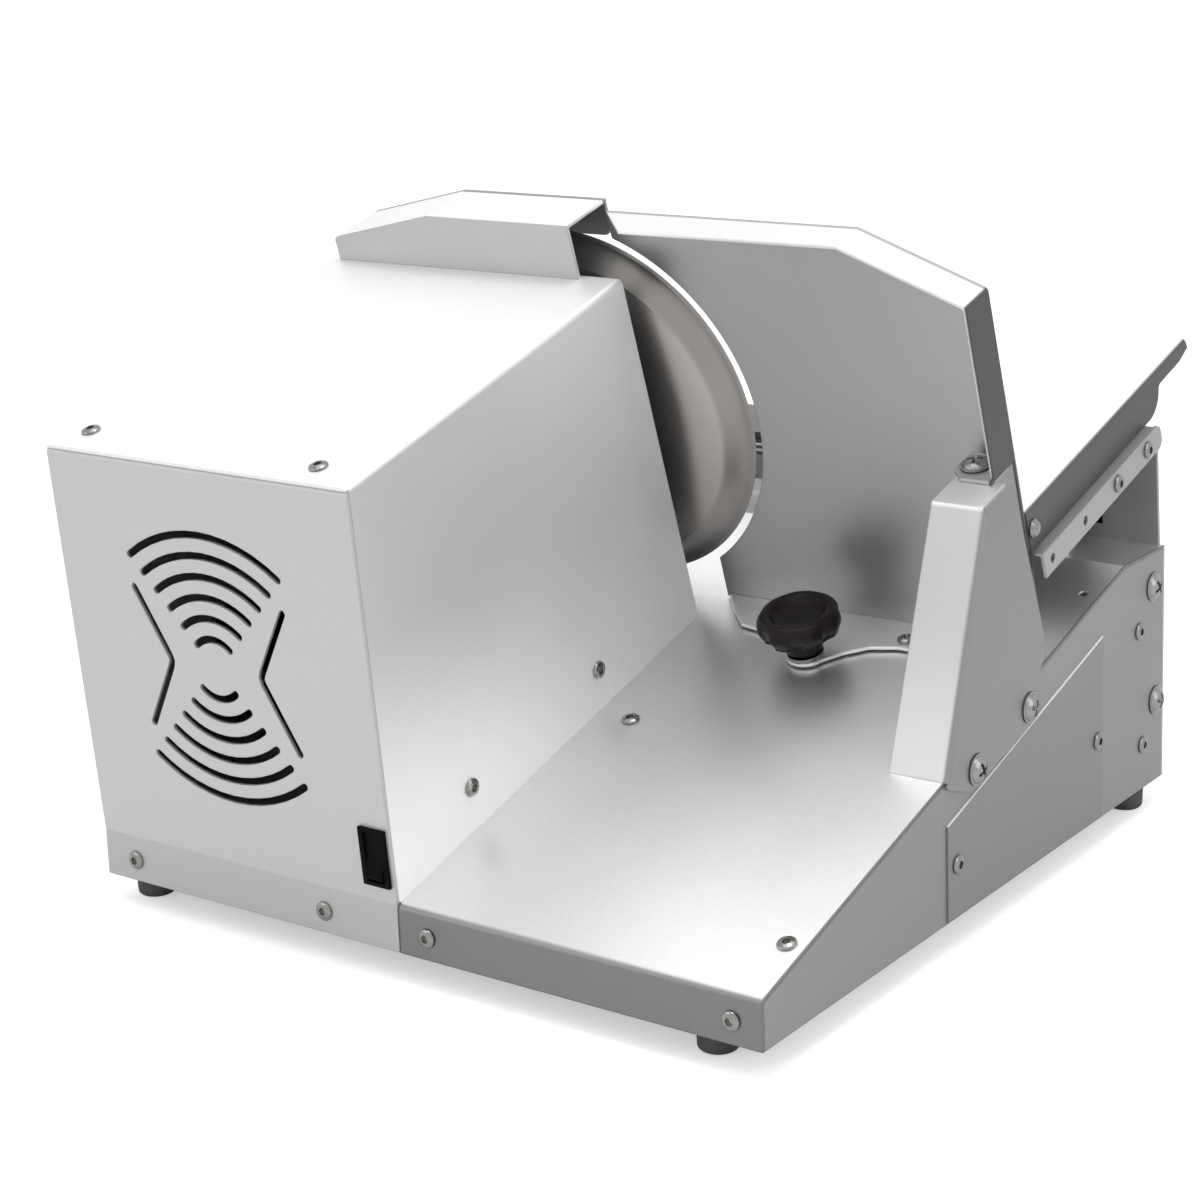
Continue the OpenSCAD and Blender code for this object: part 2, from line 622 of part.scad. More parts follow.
module switch_rocker() color([0.12, 0.12, 0.12]) switch_place() translate([0, rocker_depth, 0])
    rotate([-rocker_tilt, 0, 0]) {
        along_x(-rocker_w / 2, rocker_w / 2) polygon(concat([[-5.5, 0]], rocker_side,
            reverse([for (p = rocker_side) [p[0], -p[1]]])));
        round_x(0, 0, pin_r, -pin_half, pin_half);
    }

gland_nut_r = 14;
gland_nut_h = 5;
gland_head_h = 8;
gland_bore_r = 4;
gland_cap = [[0, 7], [12, 7], [12, 14], [9, 20], [0, 20]];
module cable_gland() color([0.1, 0.1, 0.1]) machine() translate([gland_at[0], body_d, gland_at[1]]) to_rear()
    difference() {
        union() {
            translate([0, 0, -gland_nut_r]) cylinder(h = gland_nut_r, r = gland_r);
            translate([0, 0, -sheet_t - gland_nut_h]) cylinder(h = gland_nut_h, r = gland_nut_r, $fn = 6);
            cylinder(h = gland_head_h, r = gland_nut_r, $fn = 6);
            rotate_extrude() polygon(gland_cap);
        }
        cylinder(h = 80, r = gland_bore_r, center = true);
    }

// Motor and belt drive

motor_r = motor_d / 2;
motor_u0 = 95;
motor_u1 = 230;
motor_step = 6;
motor_boss_r = 17;
motor_boss_h = 3;
motor_wall = 6;
stator_u = [125, 200];
stator_bore_r = 29;
rotor_r = 28.5;
mount_half = 46;
mount_t = 3;
saddle_u = [115, 205];
saddle_half = mount_half - 2;
saddle_top = motor_v - 18;
motor_feet = [for (x = [motor_x - 38, motor_x + 38]) for (u = [motor_u0 + 10, motor_u1 - 12]) [x, u]];
motor_shaft_r = 8;
blade_shaft_r = 8.5;
pulley_u0 = 240;
pulley_u1 = 256;
pulley_flange = 1.5;
pulley_flange_h = 4;
pulley_hub_r = 16;
web_t = 5;
belt_t = 2.5;
belt_gap = 0.3;
fan_u = motor_u0 - 5;
fan_r = 40;
fan_hub_r = 15;
fan_depth = 14;
fan_blade_h = 11;

module motor_body() color([0.45, 0.47, 0.5]) incline() difference() {
    union() {
        round_u(motor_x, motor_v, motor_r, motor_u0 + motor_step, motor_u1 - motor_step);
        round_u(motor_x, motor_v, motor_r - 4, motor_u0, motor_u1);
        round_u(motor_x, motor_v, motor_boss_r, motor_u0 - motor_boss_h, motor_u1 + motor_boss_h);
    }
    round_u(motor_x, motor_v, motor_r - motor_wall, motor_u0 + motor_wall, motor_u1 - motor_wall);
    round_u(motor_x, motor_v, motor_shaft_r + run_fit, motor_u0 - motor_wall, motor_u1 + motor_wall);
}
module motor_stator() color([0.6, 0.35, 0.2]) incline() difference() {
    round_u(motor_x, motor_v, motor_r - motor_wall - touch, stator_u[0], stator_u[1]);
    round_u(motor_x, motor_v, stator_bore_r, stator_u[0] - 1, stator_u[1] + 1);
}
module motor_rotor() color([0.5, 0.5, 0.52]) incline() difference() {
    round_u(motor_x, motor_v, rotor_r, stator_u[0], stator_u[1]);
    round_u(motor_x, motor_v, motor_shaft_r + run_fit, stator_u[0] - 1, stator_u[1] + 1);
}
module motor_mount() color([0.5, 0.5, 0.5]) incline() difference() {
    union() {
        box(motor_x - mount_half, motor_x + mount_half, motor_u0 + mount_t, motor_u1 - 5, 0, mount_t);
        for (u = saddle_u) box(motor_x - saddle_half, motor_x + saddle_half, u, u + mount_t, 1, saddle_top);
    }
    round_u(motor_x, motor_v, motor_r + touch, motor_u0, motor_u1);
    for (p = motor_feet) translate([p[0], p[1], 0]) small_hole(20);
}
module motor_screws() color([0.8, 0.8, 0.8]) incline() for (p = motor_feet)
    translate([p[0], p[1], mount_t]) button_screw(10);
module motor_shaft() color([0.75, 0.75, 0.75]) incline()
    round_u(motor_x, motor_v, motor_shaft_r, fan_u - fan_depth - 4, pulley_u1 + 4);
module motor_fan() color([0.15, 0.15, 0.15]) incline() difference() {
    union() {
        round_u(motor_x, motor_v, fan_hub_r, fan_u - fan_depth, fan_u);
        round_u(motor_x, motor_v, fan_r, fan_u - 2, fan_u);
        for (a = [0:60:300]) translate([motor_x, 0, motor_v]) rotate([0, a, 0])
            box(fan_hub_r - 3, fan_r - 1, fan_u - 1 - fan_blade_h, fan_u - 1, -1, 1);
    }
    round_u(motor_x, motor_v, motor_shaft_r + run_fit, fan_u - fan_depth - 1, fan_u + 1);
}
module motor_pulley() color([0.55, 0.55, 0.55]) incline() difference() {
    union() {
        round_u(motor_x, motor_v, motor_pulley_r, pulley_u0, pulley_u1);
        for (u = [pulley_u0, pulley_u1 - pulley_flange])
            round_u(motor_x, motor_v, motor_pulley_r + pulley_flange_h, u, u + pulley_flange);
    }
    round_u(motor_x, motor_v, motor_shaft_r + run_fit, pulley_u0 - 1, pulley_u1 + 1);
}
module driven_pulley() color([0.55, 0.55, 0.55]) incline() difference() {
    union() {
        round_u(blade_x, blade_v, driven_pulley_r, pulley_u0, pulley_u1);
        round_u(blade_x, blade_v, pulley_hub_r, pulley_u0 - 2, pulley_u1 + 3);
    }
    for (u = [pulley_u0 - 1, pulley_u1 - web_t]) difference() {
        round_u(blade_x, blade_v, driven_pulley_r - 6, u, u + web_t + 1);
        round_u(blade_x, blade_v, pulley_hub_r + 2, u - 1, u + web_t + 2);
    }
    round_u(blade_x, blade_v, blade_shaft_r + run_fit, pulley_u0 - 3, pulley_u1 + 4);
}

pulley_gap = [blade_x - motor_x, blade_v - motor_v];
pulley_dir = atan2(pulley_gap[1], pulley_gap[0]);
belt_tilt = acos((driven_pulley_r - motor_pulley_r) / norm(pulley_gap));
function belt_loop(extra) = concat(
    arc([blade_x, blade_v], driven_pulley_r + extra, pulley_dir + 180 - belt_tilt,
        pulley_dir - 180 + belt_tilt, 40),
    arc([motor_x, motor_v], motor_pulley_r + extra, pulley_dir + 180 + belt_tilt,
        pulley_dir + 180 - belt_tilt, 16));
module drive_belt() color([0.08, 0.08, 0.08]) incline() difference() {
    along_u(pulley_u0 + 2, pulley_u1 - 2) polygon(belt_loop(belt_gap + belt_t));
    along_u(pulley_u0 - 1, pulley_u1 + 1) polygon(belt_loop(belt_gap));
}

capacitor_r = 17.5;
capacitor_at = [housing_w - 48, capacitor_r + 2.5];
capacitor_u = [100, 166];
capacitor_clip = [16, 46];
module capacitor() color([0.75, 0.75, 0.78]) incline() {
    round_u(capacitor_at[0], capacitor_at[1], capacitor_r, capacitor_u[0], capacitor_u[1]);
    round_u(capacitor_at[0], capacitor_at[1], 6, capacitor_u[0] - 8, capacitor_u[0]);
    translate([capacitor_at[0] - capacitor_clip[0] / 2, capacitor_u[0] + 10, 0])
        cube([capacitor_clip[0], capacitor_clip[1], 4]);
}
terminal_w = 60;
terminal_x0 = housing_w - 25 - terminal_w;
terminal_u = 67;
terminal_pitch = 12;
module terminal_block() color([0.9, 0.9, 0.85]) incline() translate([terminal_x0, terminal_u, 0])
    difference() {
    union() {
        box(0, terminal_w, -5, 5, 0, 18);
        box(0, terminal_w, -11, 11, 0, 9);
    }
    for (x = [7:terminal_pitch:terminal_w - 5]) for (u = [-8, 8]) round_v(x, u, 2, 4, 20);
}

bearing_r = 20;
bearing_t = 12;
bearing_u = [262, 287];
bearing_plate_t = 6;
nose_u1 = bearing_u[1] + bearing_t;
module bearing_housing() color([0.6, 0.6, 0.6]) incline() difference() {
    union() {
        round_u(blade_x, blade_v, 46, housing_u - sheet_t - bearing_plate_t, housing_u - sheet_t);
        round_u(blade_x, blade_v, nose_r, bearing_u[0], nose_u1);
    }
    round_u(blade_x, blade_v, bearing_r, bearing_u[0] - 1, bearing_u[0] + bearing_t);
    round_u(blade_x, blade_v, bearing_r - 3, bearing_u[0], nose_u1);
    round_u(blade_x, blade_v, bearing_r, bearing_u[1] - 1, nose_u1 + 1);
    for (p = bearing_holes)
        round_u(p[0], p[1], small_d / 2 + hole_clear, housing_u - 3 * bearing_plate_t, housing_u + 5);
}
module bearing_screws() color([0.8, 0.8, 0.8]) incline() for (p = bearing_holes)
    translate([p[0], housing_u, p[1]]) to_rear() button_screw(8);
module shaft_bearings() color([0.7, 0.7, 0.7]) incline() for (u = bearing_u) difference() {
    round_u(blade_x, blade_v, bearing_r, u, u + bearing_t);
    round_u(blade_x, blade_v, blade_shaft_r + run_fit, u - 1, u + bearing_t + 1);
    for (face = [u - 1, u + bearing_t - 0.8]) difference() {
        round_u(blade_x, blade_v, bearing_r - 3, face, face + 1.8);
        round_u(blade_x, blade_v, bearing_r - 8, face - 1, face + 3);
    }
}

// Blade

disc_u = blade_u - dish_h - 1;
blade_t = 2.2;
rim_w = 17;
edge_w = 2;
disc_r = blade_r - rim_w;
blade_profile = concat([[blade_shaft_r + run_fit, disc_u]],
    [for (k = [0:8]) [disc_r + (rim_w - edge_w) * k / 8, disc_u + dish_h * (1 - cos(22.5 * k)) / 2]],
    [[blade_r, blade_u]],
    [for (k = [8:-1:0]) [disc_r - edge_w + (rim_w - edge_w - 1) * k / 8,
        disc_u + blade_t + (dish_h - blade_t + 0.8) * (1 - cos(22.5 * k)) / 2]],
    [[blade_shaft_r + run_fit, disc_u + blade_t]]);
blade_screw_r = 24;
hub_r = 34;
hub_t = 6;
hub_neck_r = 15;
blade_screw_at = [for (a = [0:90:270]) [blade_x + blade_screw_r * cos(a), blade_v + blade_screw_r * sin(a)]];
module blade() color([0.6, 0.58, 0.56]) incline() difference() {
    translate([blade_x, 0, blade_v]) rotate([-90, 0, 0]) rotate_extrude($fn = 96) polygon(blade_profile);
    for (p = blade_screw_at) round_u(p[0], p[1], small_d / 2 + hole_clear, disc_u - 5, disc_u + 10);
}
module blade_hub() color([0.5, 0.5, 0.5]) incline() difference() {
    union() {
        round_u(blade_x, blade_v, hub_r, disc_u - hub_t, disc_u);
        round_u(blade_x, blade_v, hub_neck_r, nose_u1 + 1, disc_u - hub_t / 2);
    }
    round_u(blade_x, blade_v, blade_shaft_r + run_fit, nose_u1, disc_u + 1);
    for (p = blade_screw_at) round_u(p[0], p[1], small_d / 2 + hole_clear, disc_u - 8, disc_u + 1);
}
module blade_shaft() color([0.75, 0.75, 0.75]) incline()
    round_u(blade_x, blade_v, blade_shaft_r, pulley_u0 - 4, disc_u + blade_t + 1);
module blade_screws() color([0.8, 0.8, 0.8]) incline() for (p = blade_screw_at)
    translate([p[0], disc_u + blade_t, p[1]]) to_rear() button_screw(8);

// Pillar and gauge plate

pillar_x0 = body_w - 33.3;
pillar_x1 = body_w + sheet_t;
pillar_foot_u = 184.5;
pillar_top = [268.7, 121];
pillar_back_u = 299.5;
pillar_taper = 1.6;
flap_round = 6;
relief_r = 1.6;
flap_points = concat([[pillar_foot_u, 0], pillar_top],
    arc([pillar_back_u - flap_round, pillar_top[1] - flap_round], flap_round, 90, 5, 5),
    [[307, 9], [297, 1.6], [280, -23.2], [206, -20.5], [pillar_foot_u, -3.7]]);
tab_screw_at = [gauge_x1 - 17, 306.6];
// A flat shape in (x, outward) drawn out from p to q in (u, v), with outward to the right of the path
module drawn(p, q) {
    d = unit(q - p);
    multmatrix([[1, 0, 0, 0], [0, d[1], d[0], p[0]], [0, -d[0], d[1], p[1]]])
        linear_extrude(norm(q - p)) children();
}
// Section across the fold between the pillar's face and its side flap
module pillar_section() polygon(sheet([[pillar_x1, -3 * bend_out], [pillar_x1, 0], [pillar_x0, 0]], sheet_t));
module pillar() color([0.85, 0.85, 0.85]) incline() difference() {
    union() {
        intersection() {
            union() {
                drawn([pillar_back_u, pillar_top[1]], pillar_top) pillar_section();
                drawn(pillar_top, [pillar_foot_u, 0]) pillar_section();
            }
            along_x(pillar_x0 - 1, pillar_x1 + 1) polygon(flap_points);
        }
        intersection() {
            along_x(body_w, pillar_x1) polygon(flap_points);
            along_x(body_w, pillar_x1) polygon([pillar_top + [1, -2 * bend_out],
                [400, pillar_top[1] - 2 * bend_out],
                [400, -60], [100, -60], [pillar_foot_u + bend_out, 0]]);
        }
        box(pillar_x0 + pillar_taper, gauge_x1 - 1.5, pillar_back_u - 4, tab_screw_at[1] + large_d,
            pillar_top[1] - sheet_t, pillar_top[1]);
    }
    box(pillar_x0 - 1, body_w, pillar_foot_u - 10, pillar_foot_u + 20, -10, 0);
    along_u(pillar_foot_u - 10, pillar_back_u + 1) polygon([[pillar_x0 - 1, -1], [pillar_x0, 0],
        [pillar_x0 + pillar_taper, pillar_top[1] + 1], [pillar_x0 - 1, pillar_top[1] + 1]]);
    translate([pillar_x1 - bend_out, pillar_top[0], pillar_top[1]]) sphere(r = relief_r, $fn = 24);
    translate([tab_screw_at[0], tab_screw_at[1], pillar_top[1]]) large_hole(20);
    for (p = pillar_screw_at) translate([body_w, p[0], p[1]]) to_right() large_hole(20);
}
module pillar_screws() color([0.8, 0.8, 0.8]) incline() for (p = pillar_screw_at)
    translate([pillar_x1, p[0], p[1]]) to_right() pan_screw(12);

gauge_u = blade_u + 0.4;
gauge_foot_v = 1.3;
gauge_slope_x = gauge_x1 - 74.3;
gauge_shoulder_v = 225.4;
cut_r = blade_r + blade_gap;
gauge_left_x = housing_w + 7;
tab_v = pillar_top[1] + 0.2;
stud_at = [gauge_left_x + 84.6, 272];
foot_screw_at = [gauge_left_x + 136, 301];
top_cut = 26;
gauge_face = [[gauge_x0, gauge_v - 1], [gauge_slope_x, gauge_v - 1], [gauge_x1 - 1, gauge_shoulder_v - 1],
    [gauge_x1 - 1, tab_v], [gauge_x1, tab_v], [gauge_x1, gauge_foot_v], [gauge_left_x, gauge_foot_v],
    [gauge_left_x, blade_v], [gauge_x0, blade_v]];
// The foot flange's outline, from the plate's left edge, with its lobe round the stud
lobe_r = 13;
foot_points = concat([[1, gauge_u - 1], [4, 315.3], [14.7, 301.6], [28, 289.6], [42, 287.4], [72, 275]],
    arc([85.6, 273], lobe_r, 190, 340, 10),
    [[106, 278.4], [118, 287.8], [134.6, 292.4], [151, 292.4], [159, 302], [159, gauge_u - 1]]);
foot_outline = [for (p = foot_points) [gauge_left_x + p[0], p[1]]];
gauge_tab = [26.8, 291.5];
tab_chamfer = 8;
module gauge_plate() color([0.6, 0.6, 0.6]) incline() difference() {
    union() {
        difference() {
            union() {
                along_u(gauge_u - sheet_t, gauge_u) polygon(gauge_face);
                along_u(gauge_u - gauge_flange, gauge_u) polygon(sheet([[gauge_x1, tab_v],
                    [gauge_x1, gauge_shoulder_v], [gauge_slope_x, gauge_v], [gauge_x0, gauge_v]], sheet_t));
            }
            round_u(blade_x, blade_v, cut_r, gauge_u - 5, gauge_u + 5, $fn = 96);
            along_v(gauge_v - top_cut, gauge_v + 5) polygon([[gauge_x0 - 1, gauge_u - gauge_flange - 1],
                [gauge_x0 + top_cut + 1, gauge_u - gauge_flange - 1], [gauge_x0 - 1, gauge_u + 1]]);
        }
        along_v(gauge_foot_v, gauge_foot_v + sheet_t) polygon(foot_outline);
        along_v(tab_v, tab_v + sheet_t) polygon([[gauge_x1 - gauge_tab[0], gauge_u - 1],
            [gauge_x1 - gauge_tab[0], gauge_tab[1] + tab_chamfer],
                [gauge_x1 - gauge_tab[0] + tab_chamfer, gauge_tab[1]],
            [gauge_x1, gauge_tab[1]], [gauge_x1, gauge_u - 1]]);
    }
    slot_v(stud_at[0], stud_at[1], large_d / 2 + hole_clear, gauge_travel, -1, 6);
    slot_v(foot_screw_at[0], foot_screw_at[1], small_d / 2 + hole_clear, gauge_travel, -1, 6);
    slot_v(tab_screw_at[0], tab_screw_at[1], large_d / 2 + hole_clear, gauge_travel, tab_v - 1, tab_v + 5);
}

washer_v = gauge_foot_v + sheet_t + touch;
washer_t = 1.6;
knob_v = washer_v + washer_t + touch;
knob_top = 33;
knob_body_v = 14;
nut_r = 7.5;
nut_h = 6;
washer_r = 11;
module knob_place() incline() translate([stud_at[0], stud_at[1], 0]) children();
knob_collar_r = 11.5;
knob_rim_r = 3;
knob_hollow_r = 43;
knob_hollow = 3;
lobe_cut_r = 7.5;
lobe_cut_at = knob_d / 2 + 4.5;
stud_top = 24;
module clamp_knob() color([0.09, 0.08, 0.08]) knob_place() difference() {
    union() {
        cylinder(h = knob_body_v, r = knob_collar_r);
        translate([0, 0, knob_body_v - 3]) rotate_extrude() polygon(concat([[0, 0], [knob_collar_r, 0],
            [knob_d / 2 - 2.5, 4.5]], arc([knob_d / 2 - knob_rim_r, knob_top - knob_body_v], knob_rim_r,
                0, 60, 4),
            [[0, knob_top - knob_body_v + knob_rim_r - 0.5]]));
    }
    translate([0, 0, -1]) cylinder(h = knob_v + 1, r = knob_d);
    for (k = [1:knob_lobes]) rotate([0, 0, (k + 0.5) * 360 / knob_lobes])
        translate([lobe_cut_at, 0, -1]) cylinder(h = knob_top + 5, r = lobe_cut_r);
    translate([0, 0, knob_top + knob_hollow_r - knob_hollow]) sphere(r = knob_hollow_r, $fn = 96);
    cylinder(h = stud_top + 2, r = large_d / 2 + run_fit);
}
module knob_stud() color([0.7, 0.7, 0.7]) knob_place() {
    translate([0, 0, -sheet_t - nut_h - 1]) cylinder(h = stud_top + sheet_t + nut_h + 1, r = large_d / 2);
    translate([0, 0, -sheet_t - nut_h]) cylinder(h = nut_h, r = nut_r, $fn = 6);
}
module knob_washer() color([0.8, 0.8, 0.8]) knob_place() translate([0, 0, washer_v]) difference() {
    cylinder(h = washer_t, r = washer_r);
    cylinder(h = 10, r = large_d / 2 + hole_clear, center = true);
}
module gauge_foot_screw() color([0.8, 0.8, 0.8]) incline()
    translate([foot_screw_at[0], foot_screw_at[1], washer_v]) button_screw(14);
module gauge_tab_screw() color([0.8, 0.8, 0.8]) incline() translate([tab_screw_at[0], tab_screw_at[1], 0]) {
    translate([0, 0, tab_v + sheet_t + touch]) pan_screw(14);
    translate([0, 0, pillar_top[1] - sheet_t - nut_h]) difference() {
        cylinder(h = nut_h, r = nut_r, $fn = 6);
        cylinder(h = 20, r = large_d / 2, center = true);
    }
}

// Rear guide

rod_y = body_d + 14;
rod_z = (channel_z0 + channel_z1) / 2 + 3;
rod_r = rod_d / 2;
support_t = 10;
module rear_channel() color([0.75, 0.75, 0.75]) machine() difference() {
    union() {
        box(channel_x0, channel_x1, body_d, channel_y, channel_z0 - sheet_t, channel_z1 + sheet_t);
        box(channel_x0, channel_x1, body_d, body_d + sheet_t, rear_screw_z - channel_lip,
            channel_screw_z + 6);
    }
    box(channel_x0 + sheet_t, channel_x1 - sheet_t, body_d - 1, channel_y - sheet_t, channel_z0, channel_z1);
    for (x = rear_screws) for (z = [rear_screw_z, channel_screw_z]) translate([x, body_d, z]) to_front()
        small_hole(20);
}
module rod_supports() color([0.3, 0.3, 0.3]) machine()
    for (x = [channel_x0 + sheet_t, channel_x1 - sheet_t - support_t]) difference() {
        box(x, x + support_t, body_d + sheet_t, channel_y - sheet_t, channel_z0, channel_z1 - 1);
        round_x(rod_y, rod_z, rod_r + run_fit, x - 1, x + support_t + 1);
    }
module guide_rod() color([0.8, 0.8, 0.8]) machine()
    round_x(rod_y, rod_z, rod_r, channel_x0 + sheet_t + 1, channel_x1 - sheet_t - 1);

// Carriage

rail_x1 = body_w;
rail_x0 = tray_x0 - tray_inset;
rail_v0 = 45.5;
rail_v1 = 61;
rail_u0 = tray_u0;
rail_u1 = 480;
rail_lip = 10;
rail_round = 6;
rail_holes = [332, 374.5, 418.5, 460];
rail_hole_v = 53;
cross_u0 = 404;
cross_u1 = 474;
tie_u = tray_u0 + 5.5;
tie_v = 74;
tie_r = 4.5;
tie_head_r = tie_r + 1;
arm_bend_u = 500;
flange_round = 17;
arm_round = 8;

// Side line of the tray's right flange, with the round step up to the arm
tray_side = concat([[tray_u0 - 1, rail_v1], [arm_bend_u - flange_round - 2, rail_v1]],
    arc([arm_bend_u - flange_round - 2, rail_v1 + flange_round], flange_round, -90, -10, 6),
    [[arm_bend_u, 76.5], [arm_u - 13, 76.8], [arm_u, arm_end_v], [arm_u - 3, tray_v + 1],
        [tray_u0 - 1, tray_v + 1]]);
module food_tray() color([0.8, 0.8, 0.8]) incline() difference() {
    union() {
        along_u(tray_u0, tray_u1) polygon(sheet([[tray_x1, rail_v1], [tray_x1, tray_v],
            [tray_x0, tray_v], [tray_x0, rail_v1]], sheet_t));
        intersection() {
            along_u(tray_u1 - 1, arm_u) polygon(sheet([[tray_x1, rail_v1 - 1], [tray_x1, tray_v],
                [tray_x1 - arm_w, tray_v]], sheet_t));
            along_x(tray_x1 - arm_w - 1, tray_x1 + 1) polygon(tray_side);
        }
    }
    translate([tray_x1 - arm_w, arm_u, 0]) difference() {
        box(-1, arm_round, -arm_round, 1, tray_v - 10, tray_v + 5);
        round_v(arm_round, -arm_round, arm_round, tray_v - 11, tray_v + 6);
    }
    round_x(tie_u, tie_v, tie_r + hole_clear, tray_x0 - 5, tray_x1 + 5);
}
spacer_inset = 24;
spacer_u = [415, 444];
spacer_at = [for (x = [tray_x0 + spacer_inset, tray_x1 - spacer_inset]) for (u = spacer_u) [x, u]];

module rail() difference() {
    union() {
        along_x(-sheet_t, 0) polygon(concat([[rail_u0, rail_v0]],
            arc([rail_u1 - rail_round, rail_v0 + rail_round], rail_round, -90, 0, 4),
            arc([rail_u1 - rail_round, rail_v1 - rail_round], rail_round, 0, 90, 4), [[rail_u0, rail_v1]]));
        box(-rail_lip, 0, rail_u0, rail_u1 - rail_round, rail_v1 - sheet_t, rail_v1);
    }
    for (u = rail_holes) translate([0, u, rail_hole_v]) to_right() small_hole(10);
}
module rail_right() color([0.8, 0.8, 0.8]) incline() translate([rail_x1, 0, 0]) rail();
module rail_left() color([0.8, 0.8, 0.8]) incline() translate([rail_x0, 0, 0]) mirror([1, 0, 0]) rail();

cross_lip_v = rail_v1 - sheet_t - 1;
module carriage_cross() color([0.55, 0.55, 0.55]) incline() difference() {
    along_u(cross_u0, cross_u1) polygon(sheet([[rail_x0 + sheet_t, cross_lip_v], [rail_x0 + sheet_t, rail_v0],
        [rail_x1 - sheet_t, rail_v0], [rail_x1 - sheet_t, cross_lip_v]], sheet_t));
    for (x = [rail_x0, rail_x1]) for (u = [rail_holes[2], rail_holes[3]])
        translate([x, u, rail_hole_v]) to_right() small_hole(20);
    for (p = concat(spacer_at, bracket_screws)) translate([p[0], p[1], rail_v0]) small_hole(20);
}

// Bracket from the cross plate down and through the rear window to the rod
bracket_x1 = body_w - 48;
bracket_x0 = bracket_x1 - bracket_w;
leg_z = fold_z + 12;
leg_t = 3;
riser_y = body_d - 22;
leg_front = riser_y - 22;
wing_x0 = rail_x0 + 6;
wing_z = leg_z + 26;
bracket_back = y_of(cross_u1 + 2, rail_v0);
bracket_screws = [for (x = [wing_x0 + 10, bracket_x1 - 6]) [x, cross_u1 - 8]];
module carriage_bracket() color([0.4, 0.4, 0.42]) difference() {
    machine() {
        box(bracket_x0, bracket_x1, leg_front, channel_y - sheet_t - 4, leg_z, leg_z + leg_t);
        along_x(bracket_x0, bracket_x1) polygon([[riser_y, leg_z + 1], [riser_y + leg_t, leg_z + 1],
            [riser_y + leg_t, line_z(riser_y + leg_t, rail_v0)], [riser_y, line_z(riser_y, rail_v0)]]);
        along_x(wing_x0, bracket_x1) polygon([
            [riser_y, line_z(riser_y, rail_v0 - leg_t)], [riser_y, line_z(riser_y, rail_v0)],
            [bracket_back, line_z(bracket_back, rail_v0)],
                [bracket_back, line_z(bracket_back, rail_v0 - leg_t)]]);
    }
    machine() {
        for (x = shoe_x) translate([x, shoe_y, leg_z]) small_hole(20);
        for (x = shoe_x) translate([x, rod_y, leg_z]) small_hole(20);
        box(bracket_x0 - 1, wing_x0, riser_y - 1, riser_y + leg_t + 1, wing_z, rear_h * 2);
    }
    incline() for (p = bracket_screws) translate([p[0], p[1], rail_v0]) small_hole(20);
}

spacer_r = 6;
module tray_spacers() color([0.75, 0.75, 0.75]) incline() for (p = spacer_at) difference() {
    round_v(p[0], p[1], spacer_r, rail_v0 + sheet_t, tray_v - sheet_t);
    round_v(p[0], p[1], small_d / 2 + hole_clear, rail_v0, rail_v0 + 16);
}

shoe_x = [bracket_x0 + 17, bracket_x1 - 17];
shoe_y = riser_y - 14;
shoe_half = [15, 7];
bushing_half = [14, 9];
module glide_shoes() color([0.9, 0.9, 0.88]) machine() for (x = shoe_x) difference() {
    box(x - shoe_half[0], x + shoe_half[0], shoe_y - shoe_half[1], shoe_y + shoe_half[1], fold_z + touch,
        leg_z);
    translate([x, shoe_y, leg_z]) small_hole(16);
}
module rod_bushings() color([0.85, 0.85, 0.8]) machine() for (x = shoe_x) difference() {
    box(x - bushing_half[0], x + bushing_half[0], rod_y - bushing_half[1], rod_y + bushing_half[1],
        leg_z + leg_t, rod_z + bushing_half[1] + 1);
    round_x(rod_y, rod_z, rod_r + run_fit, x - bushing_half[0] - 1, x + bushing_half[0] + 1);
    translate([x, rod_y, leg_z + leg_t]) small_hole(10);
}

tie_head = [[4, 2.6], [tie_head_r, 1], [tie_head_r, 0]];
module tie_rod() color([0.75, 0.75, 0.75]) incline() translate([0, tie_u, tie_v]) rotate([0, 90, 0])
    rotate_extrude() polygon(concat([[0, tray_x0 - 3]], [for (p = tie_head) [p[0], tray_x0 - p[1]]],
        [[tie_r, tray_x0], [tie_r, tray_x1]], [for (p = reverse(tie_head)) [p[0], tray_x1 + p[1]]],
        [[0, tray_x1 + 3]]));

module carriage_screws() color([0.8, 0.8, 0.8]) {
    incline() {
        for (u = [rail_holes[2], rail_holes[3]]) {
            translate([rail_x1, u, rail_hole_v]) to_right() button_screw(8);
            translate([rail_x0, u, rail_hole_v]) to_left() button_screw(8);
        }
        for (p = spacer_at) translate([p[0], p[1], rail_v0]) mirror([0, 0, 1]) button_screw(14);
        for (p = bracket_screws) translate([p[0], p[1], rail_v0 + sheet_t]) button_screw(9);
    }
    machine() {
        for (x = shoe_x) translate([x, shoe_y, leg_z + leg_t]) button_screw(9);
        for (x = shoe_x) translate([x, rod_y, leg_z]) mirror([0, 0, 1]) button_screw(7);
    }
}

deck_plate();
side_wall_right();
side_wall_left();
side_cover();
rear_panel();
front_brace();
deck_brace();
base_screws();
rear_pan_screws();
feet();
feet_screws();
vent_panel();
housing_shell();
housing_angles();
housing_back();
housing_screws();
blade_hood();
switch_body();
switch_rocker();
cable_gland();
motor_body();
motor_stator();
motor_rotor();
motor_mount();
motor_screws();
capacitor();
terminal_block();
bearing_housing();
bearing_screws();
shaft_bearings();
drive_belt();
blade();
blade_hub();
blade_shaft();
blade_screws();
driven_pulley();
motor_shaft();
motor_pulley();
motor_fan();
pillar();
pillar_screws();
gauge_plate();
clamp_knob();
knob_stud();
knob_washer();
gauge_foot_screw();
gauge_tab_screw();
rear_channel();
guide_rod();
rod_supports();
food_tray();
rail_right();
rail_left();
carriage_cross();
carriage_bracket();
tray_spacers();
glide_shoes();
rod_bushings();
tie_rod();
carriage_screws();
